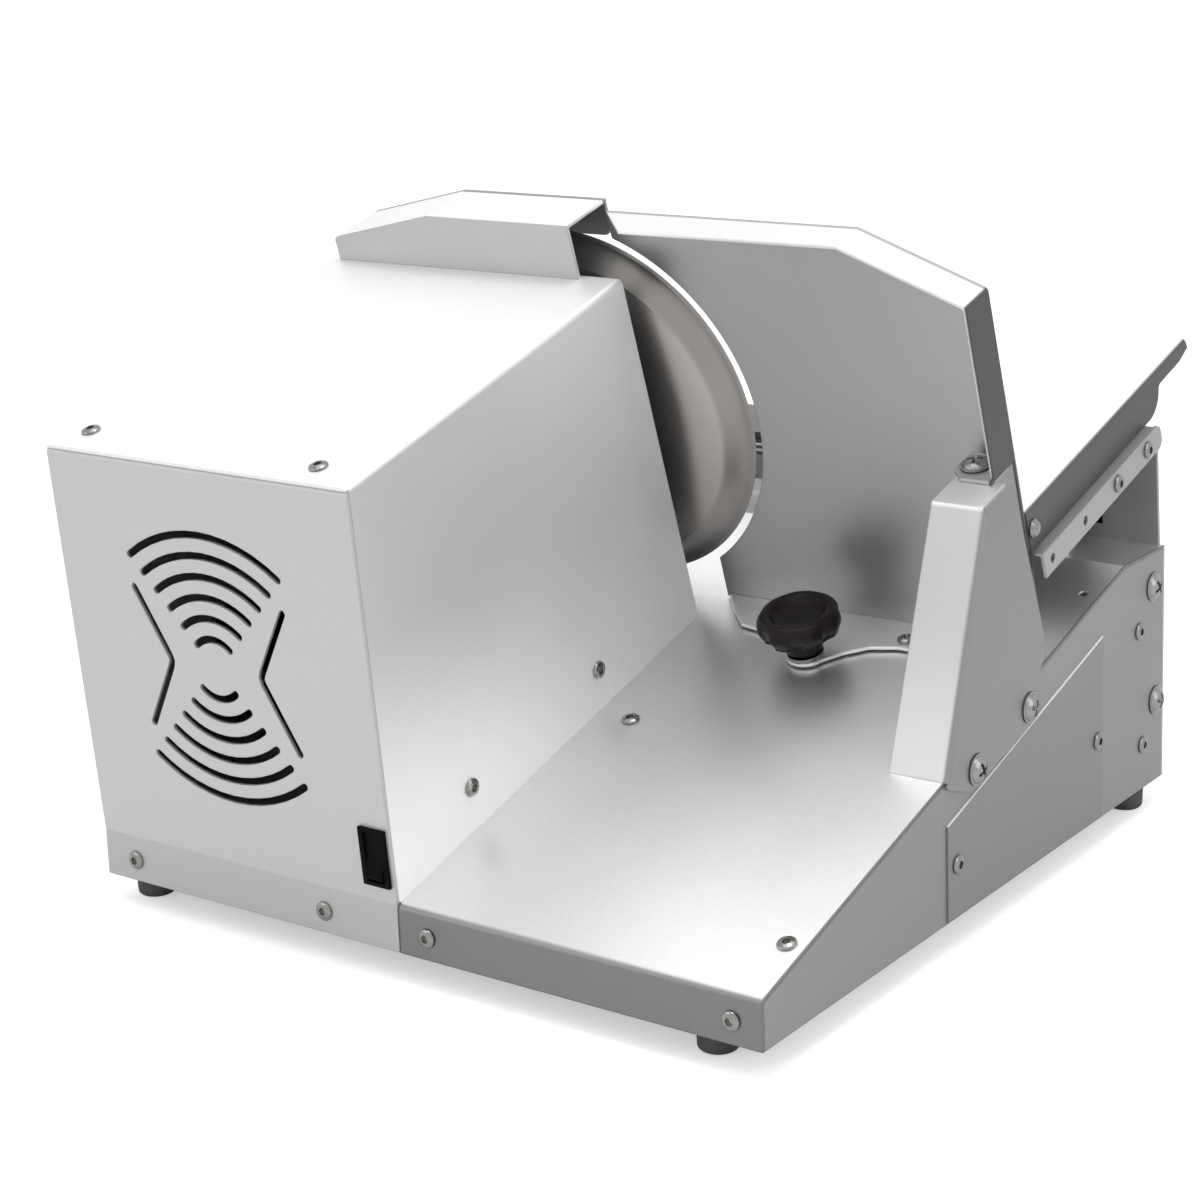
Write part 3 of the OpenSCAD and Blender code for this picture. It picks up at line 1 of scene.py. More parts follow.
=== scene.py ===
"""Looks of the folded-sheet meat slicer: finishes of every sheet, and the pieces that are worked out here."""

import json
from math import cos, pi, radians, sin

import bpy
import numpy as np
from mathutils import Matrix, Vector


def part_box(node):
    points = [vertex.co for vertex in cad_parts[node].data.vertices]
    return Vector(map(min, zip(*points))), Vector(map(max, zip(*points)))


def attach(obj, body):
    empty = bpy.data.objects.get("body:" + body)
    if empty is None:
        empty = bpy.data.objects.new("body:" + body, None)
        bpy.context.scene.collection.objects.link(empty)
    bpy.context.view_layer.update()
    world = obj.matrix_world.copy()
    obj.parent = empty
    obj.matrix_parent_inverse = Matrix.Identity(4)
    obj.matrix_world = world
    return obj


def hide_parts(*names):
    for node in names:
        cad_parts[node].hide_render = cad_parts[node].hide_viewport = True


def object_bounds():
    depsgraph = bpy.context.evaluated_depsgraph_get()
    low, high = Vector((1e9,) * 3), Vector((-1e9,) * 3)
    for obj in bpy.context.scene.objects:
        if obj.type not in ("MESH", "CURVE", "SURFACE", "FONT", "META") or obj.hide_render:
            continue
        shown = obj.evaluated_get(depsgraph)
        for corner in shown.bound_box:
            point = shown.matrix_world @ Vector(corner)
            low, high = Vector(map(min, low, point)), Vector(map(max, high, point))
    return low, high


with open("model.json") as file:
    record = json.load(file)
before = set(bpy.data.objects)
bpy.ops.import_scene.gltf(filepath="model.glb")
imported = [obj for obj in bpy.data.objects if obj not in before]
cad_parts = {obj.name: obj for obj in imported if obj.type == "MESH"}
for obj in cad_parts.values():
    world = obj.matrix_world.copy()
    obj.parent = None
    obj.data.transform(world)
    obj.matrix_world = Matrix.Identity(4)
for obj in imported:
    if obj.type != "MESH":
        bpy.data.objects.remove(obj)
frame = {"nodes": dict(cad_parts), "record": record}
cad_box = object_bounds()
nodes = frame["nodes"]
MM = 0.001

# Where the machine stands in the frame: x to the right, y to the rear, z up from the base's underside.
# The deck climbs along u, and v stands square on it. Both start at the front edge of the deck.

BODY_D = 450 * MM
FLANGE_H = 26.5 * MM
SLOPE = radians(17)
BLADE_X, BLADE_V = 155.5 * MM, 126.4 * MM
KNOB_X, KNOB_U = 311.6 * MM, 272 * MM
panel_low, panel_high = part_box("rear_panel")
ORIGIN = np.array([panel_low.x, panel_high.y - BODY_D, panel_low.z])
DECK_START = ORIGIN + np.array([0, 0, FLANGE_H])
ALONG_U = np.array([0, cos(SLOPE), sin(SLOPE)])
ALONG_V = np.array([0, -sin(SLOPE), cos(SLOPE)])
ALONG_X = np.array([1.0, 0, 0])
BLADE_AT = DECK_START + BLADE_X * ALONG_X + BLADE_V * ALONG_V
KNOB_AT = DECK_START + KNOB_X * ALONG_X + KNOB_U * ALONG_U

# Camera, fitted to the straight edges of the housing, the deck and the wall

CAMERA_TURN = radians(33.90)
CAMERA_TILT = radians(12.31)
CAMERA_ROLL = radians(-1.32)
CAMERA_AT = np.array([1092.1, -950.9, 556.0]) * MM
SENSOR = 36.0
IMAGE_SIZE = 1200
FOCAL_PIXELS = 2584
AXIS_PIXEL = (754, 431)
SEEN_TO = 50.0


def make_camera():
    """The camera looks along a turn about z, then a tilt down, then a roll about its own axis."""
    a, e, r = CAMERA_TURN, CAMERA_TILT, CAMERA_ROLL
    ahead = np.array([-sin(a) * cos(e), cos(a) * cos(e), -sin(e)])
    right = np.array([cos(a), sin(a), 0])
    up = np.cross(right, ahead)
    rolled_right = cos(r) * right + sin(r) * up
    rolled_up = cos(r) * up - sin(r) * right
    data = bpy.data.cameras.new("camera")
    data.sensor_width = SENSOR
    data.lens = SENSOR * FOCAL_PIXELS / IMAGE_SIZE
    data.shift_x = (IMAGE_SIZE / 2 - AXIS_PIXEL[0]) / IMAGE_SIZE
    data.shift_y = (AXIS_PIXEL[1] - IMAGE_SIZE / 2) / IMAGE_SIZE
    data.clip_end = SEEN_TO
    turn = Matrix([[rolled_right[i], rolled_up[i], -ahead[i]] for i in range(3)]).to_4x4()
    camera = bpy.data.objects.new("camera", data)
    camera.matrix_world = Matrix.Translation(Vector(ORIGIN + CAMERA_AT)) @ turn
    bpy.context.scene.collection.objects.link(camera)
    bpy.context.scene.camera = camera


# Meshes

SHARP_ANGLE = radians(38)


def new_piece(name, points, faces, smooth=True):
    """A piece in the scene; a smooth one keeps the edges sharper than SHARP_ANGLE."""
    mesh = bpy.data.meshes.new(name)
    mesh.from_pydata(np.asarray(points).tolist(), [], [list(f) for f in faces])
    mesh.polygons.foreach_set("use_smooth", np.full(len(mesh.polygons), smooth))
    mesh.update()
    if smooth:
        mesh.set_sharp_from_angle(angle=SHARP_ANGLE)
    piece = bpy.data.objects.new(name, mesh)
    bpy.context.scene.collection.objects.link(piece)
    return piece


def grid_faces(rows, columns, closed_rows=False):
    """Quads of a grid whose columns close round; closed_rows joins the last row to the first."""
    last = rows if closed_rows else rows - 1
    row, column = np.meshgrid(np.arange(last), np.arange(columns), indexing="ij")
    above, beside = (row + 1) % rows, (column + 1) % columns
    quads = np.stack([row * columns + column, row * columns + beside,
                      above * columns + beside, above * columns + column], -1)
    return quads.reshape(-1, 4)


def full_turn(steps, gather=0.0, spokes=4):
    """Angles once round; gather draws them together at the spokes, by t - gather sin(spokes t) / spokes."""
    even = np.linspace(0, 2 * pi, steps, endpoint=False)
    return even - gather * np.sin(spokes * even) / spokes


def lathe(radius, height, turn):
    """Points round z: ring i has radius[i] and height[i], each one number or one value for each angle."""
    rings = np.array([np.broadcast_to(r, len(turn)) for r in radius])
    heights = np.array([np.broadcast_to(h, len(turn)) for h in height])
    return np.stack([rings * np.cos(turn), rings * np.sin(turn), heights], -1)


def closed_lathe(radius, height, turn):
    """The lathe's points and faces, with its first and last ring closed by a fan to a pole."""
    rings = lathe(radius, height, turn)
    steps = len(turn)
    points = rings.reshape(-1, 3)
    step = np.arange(steps)
    beside = (step + 1) % steps
    base, last = len(points), (len(rings) - 1) * steps
    low = np.stack([np.full(steps, base), beside, step], -1)
    high = np.stack([np.full(steps, base + 1), last + step, last + beside], -1)
    poles = np.array([[0, 0, rings[0, :, 2].mean()], [0, 0, rings[-1, :, 2].mean()]])
    faces = grid_faces(len(rings), steps).tolist() + low.tolist() + high.tolist()
    return np.vstack([points, poles]), faces


def hollow_lathe(radius, height, turn):
    """The lathe's points and faces where the profile is a closed loop round an open bore."""
    rings = lathe(radius, height, turn)
    return rings.reshape(-1, 3), grid_faces(len(rings), len(turn), True).tolist()


def place(points, origin, axis, twist=0.0):
    """Points drawn round z, turned by twist and set so that z lies along axis from origin."""
    axis = np.asarray(axis, float) / np.linalg.norm(axis)
    side = np.cross(axis, [0, 0, 1] if abs(axis[2]) < 0.9 else [1, 0, 0])
    side /= np.linalg.norm(side)
    other = np.cross(axis, side)
    side, other = side * cos(twist) + other * sin(twist), other * cos(twist) - side * sin(twist)
    return origin + points[:, :1] * side + points[:, 1:2] * other + points[:, 2:] * axis


def joined(parts):
    """One list of points and one of faces from several."""
    points, faces, start = [], [], 0
    for part_points, part_faces in parts:
        points.append(part_points)
        faces += [[start + i for i in f] for f in part_faces]
        start += len(part_points)
    return np.vstack(points), faces


# Places of the screws, read from the solids

WELD = 1e-6
NUT_POINTS = 60
FIRST_TWIST, NEXT_TWIST = 0.4, 2.399


def loose_solids(name):
    """The corner points of each solid of a node: corners within WELD are one, and edges join them."""
    mesh = nodes[name].data
    corner = np.empty(len(mesh.vertices) * 3)
    mesh.vertices.foreach_get("co", corner)
    corner = corner.reshape(-1, 3)
    keys, label = np.unique(np.round(corner / WELD).astype(np.int64), axis=0, return_inverse=True)
    label = label.reshape(-1)
    edges = np.empty(len(mesh.edges) * 2, np.int64)
    mesh.edges.foreach_get("vertices", edges)
    pairs = label[edges.reshape(-1, 2)]
    group = np.arange(len(keys))
    changed = True
    while changed:
        low = np.minimum(group[pairs[:, 0]], group[pairs[:, 1]])
        before = group.copy()
        np.minimum.at(group, pairs[:, 0], low)
        np.minimum.at(group, pairs[:, 1], low)
        group = group[group]
        changed = bool((group != before).any())
    points = keys * WELD
    return [points[group == g] for g in np.unique(group)]


RECORD = frame["record"]
BODY_OF = {node: body for body, members in RECORD["behaviour"]["bodies"].items() for node in members}
ALONG_Y, ALONG_Z = np.array([0, 1.0, 0]), np.array([0, 0, 1.0])
AXES = [sign * line for line in (ALONG_X, ALONG_Y, ALONG_Z, ALONG_U, ALONG_V) for sign in (1, -1)]


def screw_frame(points):
    """Middle of the head's seat, axis toward the head, head radius, head height and shank length of a screw.

    The points reach least across the axis, and the seat is the lowest of the widest ring."""
    found = []
    for axis in AXES:
        height = points @ axis
        across = points - np.outer(height, axis)
        centre = (across.max(0) + across.min(0)) / 2
        reach = np.linalg.norm(across - centre, axis=1)
        seat = height[reach > reach.max() * 0.97].min()
        head, shank = height.max() - seat, seat - height.min()
        if head < shank:
            found.append((reach.max(), centre + axis * seat, axis, head, shank))
    radius, seat_at, axis, head, shank = min(found, key=lambda f: f[0])
    return seat_at, axis, radius, head, shank


# Fasteners

def hexagon(turn, flat):
    """Distance from the middle to a hexagon's edge at each angle, flat to the middle of a side."""
    return flat / np.cos(turn % (pi / 3) - pi / 6)


def crossed_bars(turn, arm, half):
    """Distance to the further edge of two crossed bars, arm long and half wide from the middle."""
    c = np.maximum(np.abs(np.cos(turn)), 1e-6)
    s = np.maximum(np.abs(np.sin(turn)), 1e-6)
    return np.maximum(np.minimum(arm / c, half / s), np.minimum(arm / s, half / c))


# The photo shows wider heads than the solids have. The shanks don't grow, so that they fit their holes.

HEAD_GROWTH = 1.12
SHANK_SHARE = 0.52 / HEAD_GROWTH


def button_screw(radius, head, length):
    """Button head: an undercut rim, a dome r = R cos a, z = h (0.3 + 0.7 sin a), and a hexagon socket."""
    turn = full_turn(48)
    shank = radius * SHANK_SHARE
    a = np.radians(np.linspace(0, 58, 8))
    dome_r, dome_h = radius * np.cos(a), head * (0.3 + 0.7 * np.sin(a))
    socket = radius * 0.39
    rings = [shank * 0.85, shank, shank, radius * 0.88, radius * 0.99, *dome_r, radius * 0.505]
    rings += [hexagon(turn, socket * share) for share in (1.08, 1, 0.96)]
    heights = [-length, -length + shank * 0.2, 0, 0, head * 0.2, *dome_h]
    heights += [head * share for share in (0.92, 0.91, 0.84, 0.22)]
    return closed_lathe(rings, heights, turn)


def pan_screw(radius, head, length):
    """Pan head: a flat rim like a washer, a dome z = h - k r^2.6 inside it, and a cross recess."""
    turn = full_turn(96, 0.62)
    shank = radius * SHANK_SHARE
    crown = radius * 0.86
    rim = head * 0.27

    def dome(r):
        return head - (head - rim * 1.35) * (r / crown) ** 2.6

    mouth = crossed_bars(turn, radius * 0.50, radius * 0.12)
    spread = [crown * share for share in (0.985, 0.93, 0.84, 0.72, 0.6)]
    rings = [shank * 0.85, shank, shank, radius * 0.9, radius, radius, radius * 0.965, crown, *spread,
             mouth * 1.05, mouth, mouth * 0.72]
    heights = [-length, -length + shank * 0.2, 0, 0, rim * 0.4, rim * 0.85, rim, rim]
    heights += [dome(r) for r in spread]
    heights += [dome(mouth * 1.05), dome(mouth) - head * 0.04, head * 0.22]
    return closed_lathe(rings, heights, turn)


def nut(points):
    """A hexagon nut round a screw: its flats meet chamfered faces, and its bore is closed by the screw."""
    axis = ALONG_V
    height = points @ axis
    across = points - np.outer(height, axis)
    centre = (across.max(0) + across.min(0)) / 2
    corner = np.linalg.norm(across - centre, axis=1).max()
    thick = height.max() - height.min()
    turn = full_turn(48)
    side, face = hexagon(turn, corner * cos(pi / 6)), np.full(48, corner * 0.9)
    rings = [np.minimum(side, face), side, side, np.minimum(side, face)]
    shape, faces = closed_lathe(rings, [0, thick * 0.12, thick * 0.88, thick], turn)
    return place(shape, centre + axis * height.min(), axis), faces


def make_screws(name, shape, finish):
    """Stands a shaped screw, each turned its own way, where every screw of a node is."""
    parts = []
    for k, points in enumerate(loose_solids(name)):
        if len(points) < NUT_POINTS:
            parts.append(nut(points))
            continue
        seat, axis, radius, head, length = screw_frame(points)
        made, faces = shape(radius * HEAD_GROWTH, head, length)
        parts.append((place(made, seat, axis, FIRST_TWIST + NEXT_TWIST * k), faces))
    stand_in(name + "_turned", *joined(parts), finish, name)


# Materials

def node_material(name):
    """A new material with its node tree and its shader."""
    material = bpy.data.materials.new(name)
    material.use_nodes = True
    tree = material.node_tree
    shader = tree.nodes["Principled BSDF"]
    return material, tree, shader


def add(tree, kind, values=None, **settings):
    """A new node: values go to its inputs, settings to the node itself."""
    made = tree.nodes.new(kind)
    for key, value in settings.items():
        setattr(made, key, value)
    for key, value in (values or {}).items():
        made.inputs[key].default_value = value
    return made


def noise(tree, vector, scale, detail=3.0, roughness=0.5):
    made = add(tree, "ShaderNodeTexNoise", {"Scale": scale, "Detail": detail, "Roughness": roughness})
    tree.links.new(vector, made.inputs["Vector"])
    return made.outputs["Fac"]


def span(tree, factor, low, high, from_low=0.3, from_high=0.7):
    """A noise's middle range, carried to low and high."""
    limits = {"From Min": from_low, "From Max": from_high, "To Min": low, "To Max": high}
    made = add(tree, "ShaderNodeMapRange", limits)
    tree.links.new(factor, made.inputs["Value"])
    return made.outputs["Result"]


def mapped(tree, scale):
    """Object coordinates, times one scale for all three axes."""
    at = add(tree, "ShaderNodeTexCoord")
    stretched = add(tree, "ShaderNodeMapping", {"Scale": (scale, scale, scale)})
    tree.links.new(at.outputs["Object"], stretched.inputs["Vector"])
    return stretched.outputs["Vector"]


def colour_mix(tree, factor, dark, light):
    made = add(tree, "ShaderNodeMix", data_type="RGBA")
    made.inputs["A"].default_value = (*dark, 1)
    made.inputs["B"].default_value = (*light, 1)
    tree.links.new(factor, made.inputs["Factor"])
    return made.outputs["Result"]


def bump(tree, shader, height, strength, distance, edge=0.0):
    """A fine bump on the shader's normal, over edges that are softened by a radius of edge."""
    made = add(tree, "ShaderNodeBump", {"Strength": strength, "Distance": distance})
    tree.links.new(height, made.inputs["Height"])
    if edge:
        bevel = add(tree, "ShaderNodeBevel", {"Radius": edge}, samples=4)
        tree.links.new(bevel.outputs["Normal"], made.inputs["Normal"])
    tree.links.new(made.outputs["Normal"], shader.inputs["Normal"])


LEVEL = {"x": (ALONG_X, DECK_START), "u": (ALONG_U, DECK_START), "v": (ALONG_V, DECK_START),
         "y": (ALONG_Y, ORIGIN), "z": (ALONG_Z, ORIGIN)}
STEEL_TINT, BLADE_TINT = (1, 1, 1.005), (1.045, 1.0, 0.96)
RIM_TONE_FROM, RIM_TONE_TO, RIM_TONE_SHARE = 97 * MM, 101 * MM, 0.66
GRAIN, FINE_BUMP, FOLD_ROUND = 1500, 0.2 * MM, 1.2 * MM


def reached(tree, along, start, end):
    """How far a point lies from start to end, in millimetres along one of the machine's directions."""
    direction, origin = LEVEL[along]
    at = add(tree, "ShaderNodeTexCoord")
    length = add(tree, "ShaderNodeVectorMath", {1: tuple(direction)}, operation="DOT_PRODUCT")
    tree.links.new(at.outputs["Object"], length.inputs[0])
    zero = float(origin @ direction)
    made = add(tree, "ShaderNodeMapRange", {"From Min": zero + start * MM, "From Max": zero + end * MM},
               interpolation_type="SMOOTHSTEP")
    tree.links.new(length.outputs["Value"], made.inputs["Value"])
    return made.outputs["Result"]


def sheet_finish(name, tone, rough=0.40, metal=0.7, contrast=0.04, relief=0.12, painted_light_zones=()):
    """Satin steel sheet: a fine even grain, faint clouds in the polish, soft edges, and painted light and
    shade.

    Each painted light zone is (direction, start, end, tone) with start and end in millimetres: past end the
    sheet has that tone, painted lighter where light falls on a face or fold and darker where shade lies, and
    between them it blends. A later zone covers an earlier one."""
    material, tree, shader = node_material(name)
    fine = noise(tree, mapped(tree, GRAIN), 1.0, 2.0)
    cloud = noise(tree, mapped(tree, 6), 1.0, 3.0)
    mix = add(tree, "ShaderNodeMath", operation="ADD")
    tree.links.new(span(tree, fine, -0.4, 0.4), mix.inputs[0])
    tree.links.new(span(tree, cloud, 0.4, 0.6), mix.inputs[1])

    def toned(value):
        return colour_mix(tree, mix.outputs[0], [value * t * (1 - contrast) for t in STEEL_TINT],
                          [min(value * t * (1 + contrast), 1.0) for t in STEEL_TINT])

    colour = toned(tone)
    # Painted light and shade: each zone paints its faces lighter where light falls and darker where shade
    # lies.
    for along, start, end, value in painted_light_zones:
        painted_zone_mix = add(tree, "ShaderNodeMix", data_type="RGBA")
        tree.links.new(reached(tree, along, start, end), painted_zone_mix.inputs["Factor"])
        tree.links.new(colour, painted_zone_mix.inputs["A"])
        tree.links.new(toned(value), painted_zone_mix.inputs["B"])
        colour = painted_zone_mix.outputs["Result"]
    tree.links.new(colour, shader.inputs["Base Color"])
    tree.links.new(span(tree, cloud, rough * 0.9, rough * 1.1), shader.inputs["Roughness"])
    shader.inputs["Metallic"].default_value = metal
    bump(tree, shader, fine, relief, FINE_BUMP, FOLD_ROUND)
    return material


def plain_metal(name, tone, rough, tint=(1, 1, 1), scale=900):
    """Turned or polished metal: faint turning marks in the roughness and a fine bump."""
    material, tree, shader = node_material(name)
    marks = noise(tree, mapped(tree, scale), 1.0, 2.0)
    dark = [tone * t * 0.9 for t in tint]
    light = [tone * t for t in tint]
    tree.links.new(colour_mix(tree, marks, dark, light), shader.inputs["Base Color"])
    tree.links.new(span(tree, marks, rough * 0.8, rough * 1.3), shader.inputs["Roughness"])
    shader.inputs["Metallic"].default_value = 1.0
    bump(tree, shader, marks, 0.05, 0.1 * MM, 0.3 * MM)
    return material


def turned_steel(name, tone, rough, centre):
    """Ground steel: rings of fine marks at the distance r from an axis along the deck, and a darker rim."""
    material, tree, shader = node_material(name)
    at = add(tree, "ShaderNodeTexCoord")
    moved = add(tree, "ShaderNodeMapping", {"Location": tuple(-centre)})
    turned = add(tree, "ShaderNodeMapping", {"Rotation": (-SLOPE, 0, 0)})
    flat = add(tree, "ShaderNodeVectorMath", {1: (1, 0, 1)}, operation="MULTIPLY")
    radius = add(tree, "ShaderNodeVectorMath", operation="LENGTH")
    tree.links.new(at.outputs["Object"], moved.inputs["Vector"])
    tree.links.new(moved.outputs["Vector"], turned.inputs["Vector"])
    tree.links.new(turned.outputs["Vector"], flat.inputs[0])
    tree.links.new(flat.outputs["Vector"], radius.inputs[0])
    rings = add(tree, "ShaderNodeTexNoise", {"Scale": 1100, "Detail": 3}, noise_dimensions="1D")
    tree.links.new(radius.outputs["Value"], rings.inputs["W"])
    cloud = noise(tree, mapped(tree, 14), 1.0, 2.0)
    mix = add(tree, "ShaderNodeMath", operation="ADD")
    tree.links.new(span(tree, rings.outputs["Fac"], -0.35, 0.35), mix.inputs[0])
    tree.links.new(span(tree, cloud, 0.35, 0.65), mix.inputs[1])
    rim = add(tree, "ShaderNodeMapRange", {"From Min": RIM_TONE_FROM, "From Max": RIM_TONE_TO},
              interpolation_type="SMOOTHSTEP")
    tree.links.new(radius.outputs["Value"], rim.inputs["Value"])
    ground = add(tree, "ShaderNodeMix", data_type="RGBA")
    tree.links.new(rim.outputs["Result"], ground.inputs["Factor"])
    for socket, value in (("A", tone), ("B", tone * RIM_TONE_SHARE)):
        dark = [value * t * 0.94 for t in BLADE_TINT]
        light = [value * t * 1.06 for t in BLADE_TINT]
        tree.links.new(colour_mix(tree, mix.outputs[0], dark, light), ground.inputs[socket])
    tree.links.new(ground.outputs["Result"], shader.inputs["Base Color"])
    tree.links.new(span(tree, rings.outputs["Fac"], rough * 0.9, rough * 1.1), shader.inputs["Roughness"])
    shader.inputs["Metallic"].default_value = 0.95
    bump(tree, shader, rings.outputs["Fac"], 0.06, FINE_BUMP)
    return material


def moulded(name, colour, rough, grain=GRAIN, depth=0.15, gloss=0.35):
    """Moulded plastic or rubber: fine pebble grain and a little dust in the colour."""
    material, tree, shader = node_material(name)
    pebble = noise(tree, mapped(tree, grain), 1.0, 2.0)
    dust = noise(tree, mapped(tree, 60), 1.0, 4.0)
    lighter = [c * 1.5 + 0.003 for c in colour]
    dusty = colour_mix(tree, span(tree, dust, 0, 1, 0.35, 0.75), colour, lighter)
    tree.links.new(dusty, shader.inputs["Base Color"])
    tree.links.new(span(tree, pebble, rough * 0.85, rough * 1.15), shader.inputs["Roughness"])
    shader.inputs["Specular IOR Level"].default_value = gloss
    bump(tree, shader, pebble, depth, FINE_BUMP, 0.4 * MM)
    return material


finishes = {
    # Painted light and shade on the deck: a painted highlight toward the front right, painted light on the
    # rear shelf, and painted shade on the front flange and on the right cut edge.
    "deck": sheet_finish("deck_steel", 0.70, 0.36, 0.92, contrast=0.06, relief=0.25, painted_light_zones=[
        ("x", 265, 400, 0.95), ("y", 290, 340, 0.98), ("y", 3.5, 0.5, 0.22), ("x", 448.6, 449.6, 0.20)]),
    # Painted shade: the lower strip below the fold is painted darker than the vent face.
    "vent": sheet_finish("vent_face_steel", 0.555, 0.50, 0.5, contrast=0.015, painted_light_zones=[("z", 27.5, 26, 0.48)]),
    # Painted light on the housing: lighter toward the rear against shade, a painted reflection of the deck
    # low down, and a lighter painted top.
    "shell": sheet_finish("housing_steel", 0.61, 0.46, 0.55, painted_light_zones=[
        ("u", 60, 290, 0.92), ("v", 150, 10, 0.98), ("v", 222.5, 225, 0.84)]),
    "wall": sheet_finish("side_wall_steel", 0.295, 0.50, 0.6, contrast=0.015),
    # Painted highlight along the cover's top edge.
    "cover": sheet_finish("cover_steel", 0.265, 0.50, 0.6, contrast=0.015, painted_light_zones=[("v", -25.0, -24.4, 0.95)]),
    # Painted shade: the channel's inside is painted nearly black, and its lips keep the plain tone.
    "channel": sheet_finish("guide_channel_steel", 0.45, 0.45, contrast=0.03, painted_light_zones=[
        ("y", 477.6, 476.6, 0.03), ("z", 192.6, 193.4, 0.45), ("z", 150.2, 149.4, 0.45),
        ("x", 330, 290, 0.45)]),
    "rear": sheet_finish("rear_panel_steel", 0.45, 0.45, contrast=0.03),
    # Painted light and shade on the hood: the top painted light, the front lip painted darker, and the inside
    # of the rear wall painted in shade.
    "hood": sheet_finish("hood_steel", 0.84, 0.42, contrast=0.03, painted_light_zones=[
        ("u", 290.2, 289.6, 0.485), ("u", 325.5, 326.1, 0.30)]),
    # Painted light and shade on the gauge plate: the top flange and the foot flange painted light, the face
    # painted darker, and the right flange painted in deep shade.
    "gauge": sheet_finish("gauge_steel", 0.84, 0.38, 0.85, contrast=0.02, painted_light_zones=[
        ("v", 124.5, 123.4, 0.50), ("v", 4.8, 3.6, 0.95), ("u", 317.2, 318.2, 0.43),
        ("x", 440.9, 442.2, 0.10)]),
    # Painted light and shade on the pillar: lighter low down and on the top, and the side flap painted
    # darker.
    "pillar": sheet_finish("pillar_steel", 0.50, 0.42, 0.7, painted_light_zones=[
        ("v", 80, 0, 0.66), ("v", 118.5, 120.5, 0.78), ("x", 448.6, 450.5, 0.28)]),
    # Painted light and shade on the tray: the top painted light, the right flange painted in deep shade and
    # the left flange painted darker.
    "tray": sheet_finish("tray_steel", 0.86, 0.45, 0.5, contrast=0.02, painted_light_zones=[
        ("x", 441.2, 442.6, 0.10), ("x", 298.5, 297.4, 0.35)]),
    "rail": sheet_finish("rail_steel", 0.40, 0.42, contrast=0.02),
    "inner": sheet_finish("mill_steel", 0.38, 0.50),
    "blade": turned_steel("ground_steel", 0.46, 0.40, BLADE_AT),
    "bright": plain_metal("polished_screw", 0.30, 0.15, (1.03, 1.0, 0.96)),
    "satin": plain_metal("satin_screw", 0.34, 0.24),
    "cast": plain_metal("cast_alloy", 0.55, 0.45, scale=500),
    "paint": moulded("motor_enamel", (0.09, 0.10, 0.12), 0.35, 600, 0.05, gloss=0.5),
    "black": moulded("black_plastic", (0.003, 0.003, 0.0035), 0.6, gloss=0.04),
    "knob": moulded("knob_plastic", (0.007, 0.0045, 0.0035), 0.34, 1200, 0.08, gloss=0.20),
    "white": moulded("white_plastic", (0.72, 0.71, 0.67), 0.5),
    "rubber": moulded("foot_rubber", (0.06, 0.06, 0.06), 0.65),
    "belt": moulded("belt_rubber", (0.02, 0.02, 0.02), 0.7),
}

BUTTON_SCREWS = ("base_screws", "housing_screws", "motor_screws", "bearing_screws", "blade_screws",
                 "feet_screws", "carriage_screws")
PAN_SCREWS = ("rear_pan_screws", "pillar_screws", "gauge_tab_screw", "gauge_foot_screw")

NODE_FINISH = {
    "deck": ["deck_plate"],
    "vent": ["vent_panel"],
    "shell": ["housing_shell"],
    "wall": ["side_wall_right", "side_wall_left"],
    "cover": ["side_cover"],
    "rear": ["rear_panel"],
    "channel": ["rear_channel"],
    "hood": ["blade_hood"],
    "gauge": ["gauge_plate"],
    "pillar": ["pillar"],
    "tray": ["food_tray"],
    "rail": ["rail_right", "rail_left"],
    "inner": ["front_brace", "deck_brace", "housing_angles", "housing_back", "motor_mount",
              "motor_stator", "motor_rotor", "motor_shaft", "blade_shaft", "carriage_cross",
              "carriage_bracket", "tray_spacers"],
    "bright": ["knob_stud", "knob_washer", "guide_rod", "tie_rod", "shaft_bearings", *BUTTON_SCREWS],
    "satin": [*PAN_SCREWS],
    "cast": ["bearing_housing", "blade_hub", "driven_pulley", "motor_pulley", "rod_supports", "capacitor"],
    "paint": ["motor_body"],
    "blade": ["blade"],
    "knob": ["clamp_knob"],
    "black": ["switch_body", "switch_rocker", "cable_gland", "motor_fan"],
    "white": ["terminal_block", "glide_shoes", "rod_bushings"],
    "rubber": ["feet"],
    "belt": ["drive_belt"],
}


def stand_in(name, points, faces, finish, *stands_for):
    """A piece with its finish, on the body of the nodes that it stands for."""
    piece = new_piece(name, points, faces)
    piece.data.materials.append(finishes[finish])
    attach(piece, BODY_OF[stands_for[0]])
    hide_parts(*stands_for)
    return piece


# Blade, knob and feet

BLADE_U, BLADE_R, DISH_H = 320 * MM, 116 * MM, 8.4 * MM
RIM_W, EDGE_W, BLADE_T, BORE_R = 17 * MM, 2 * MM, 2.2 * MM, 8.53 * MM
FLAT_RINGS = [BORE_R, 34 * MM, 70 * MM]


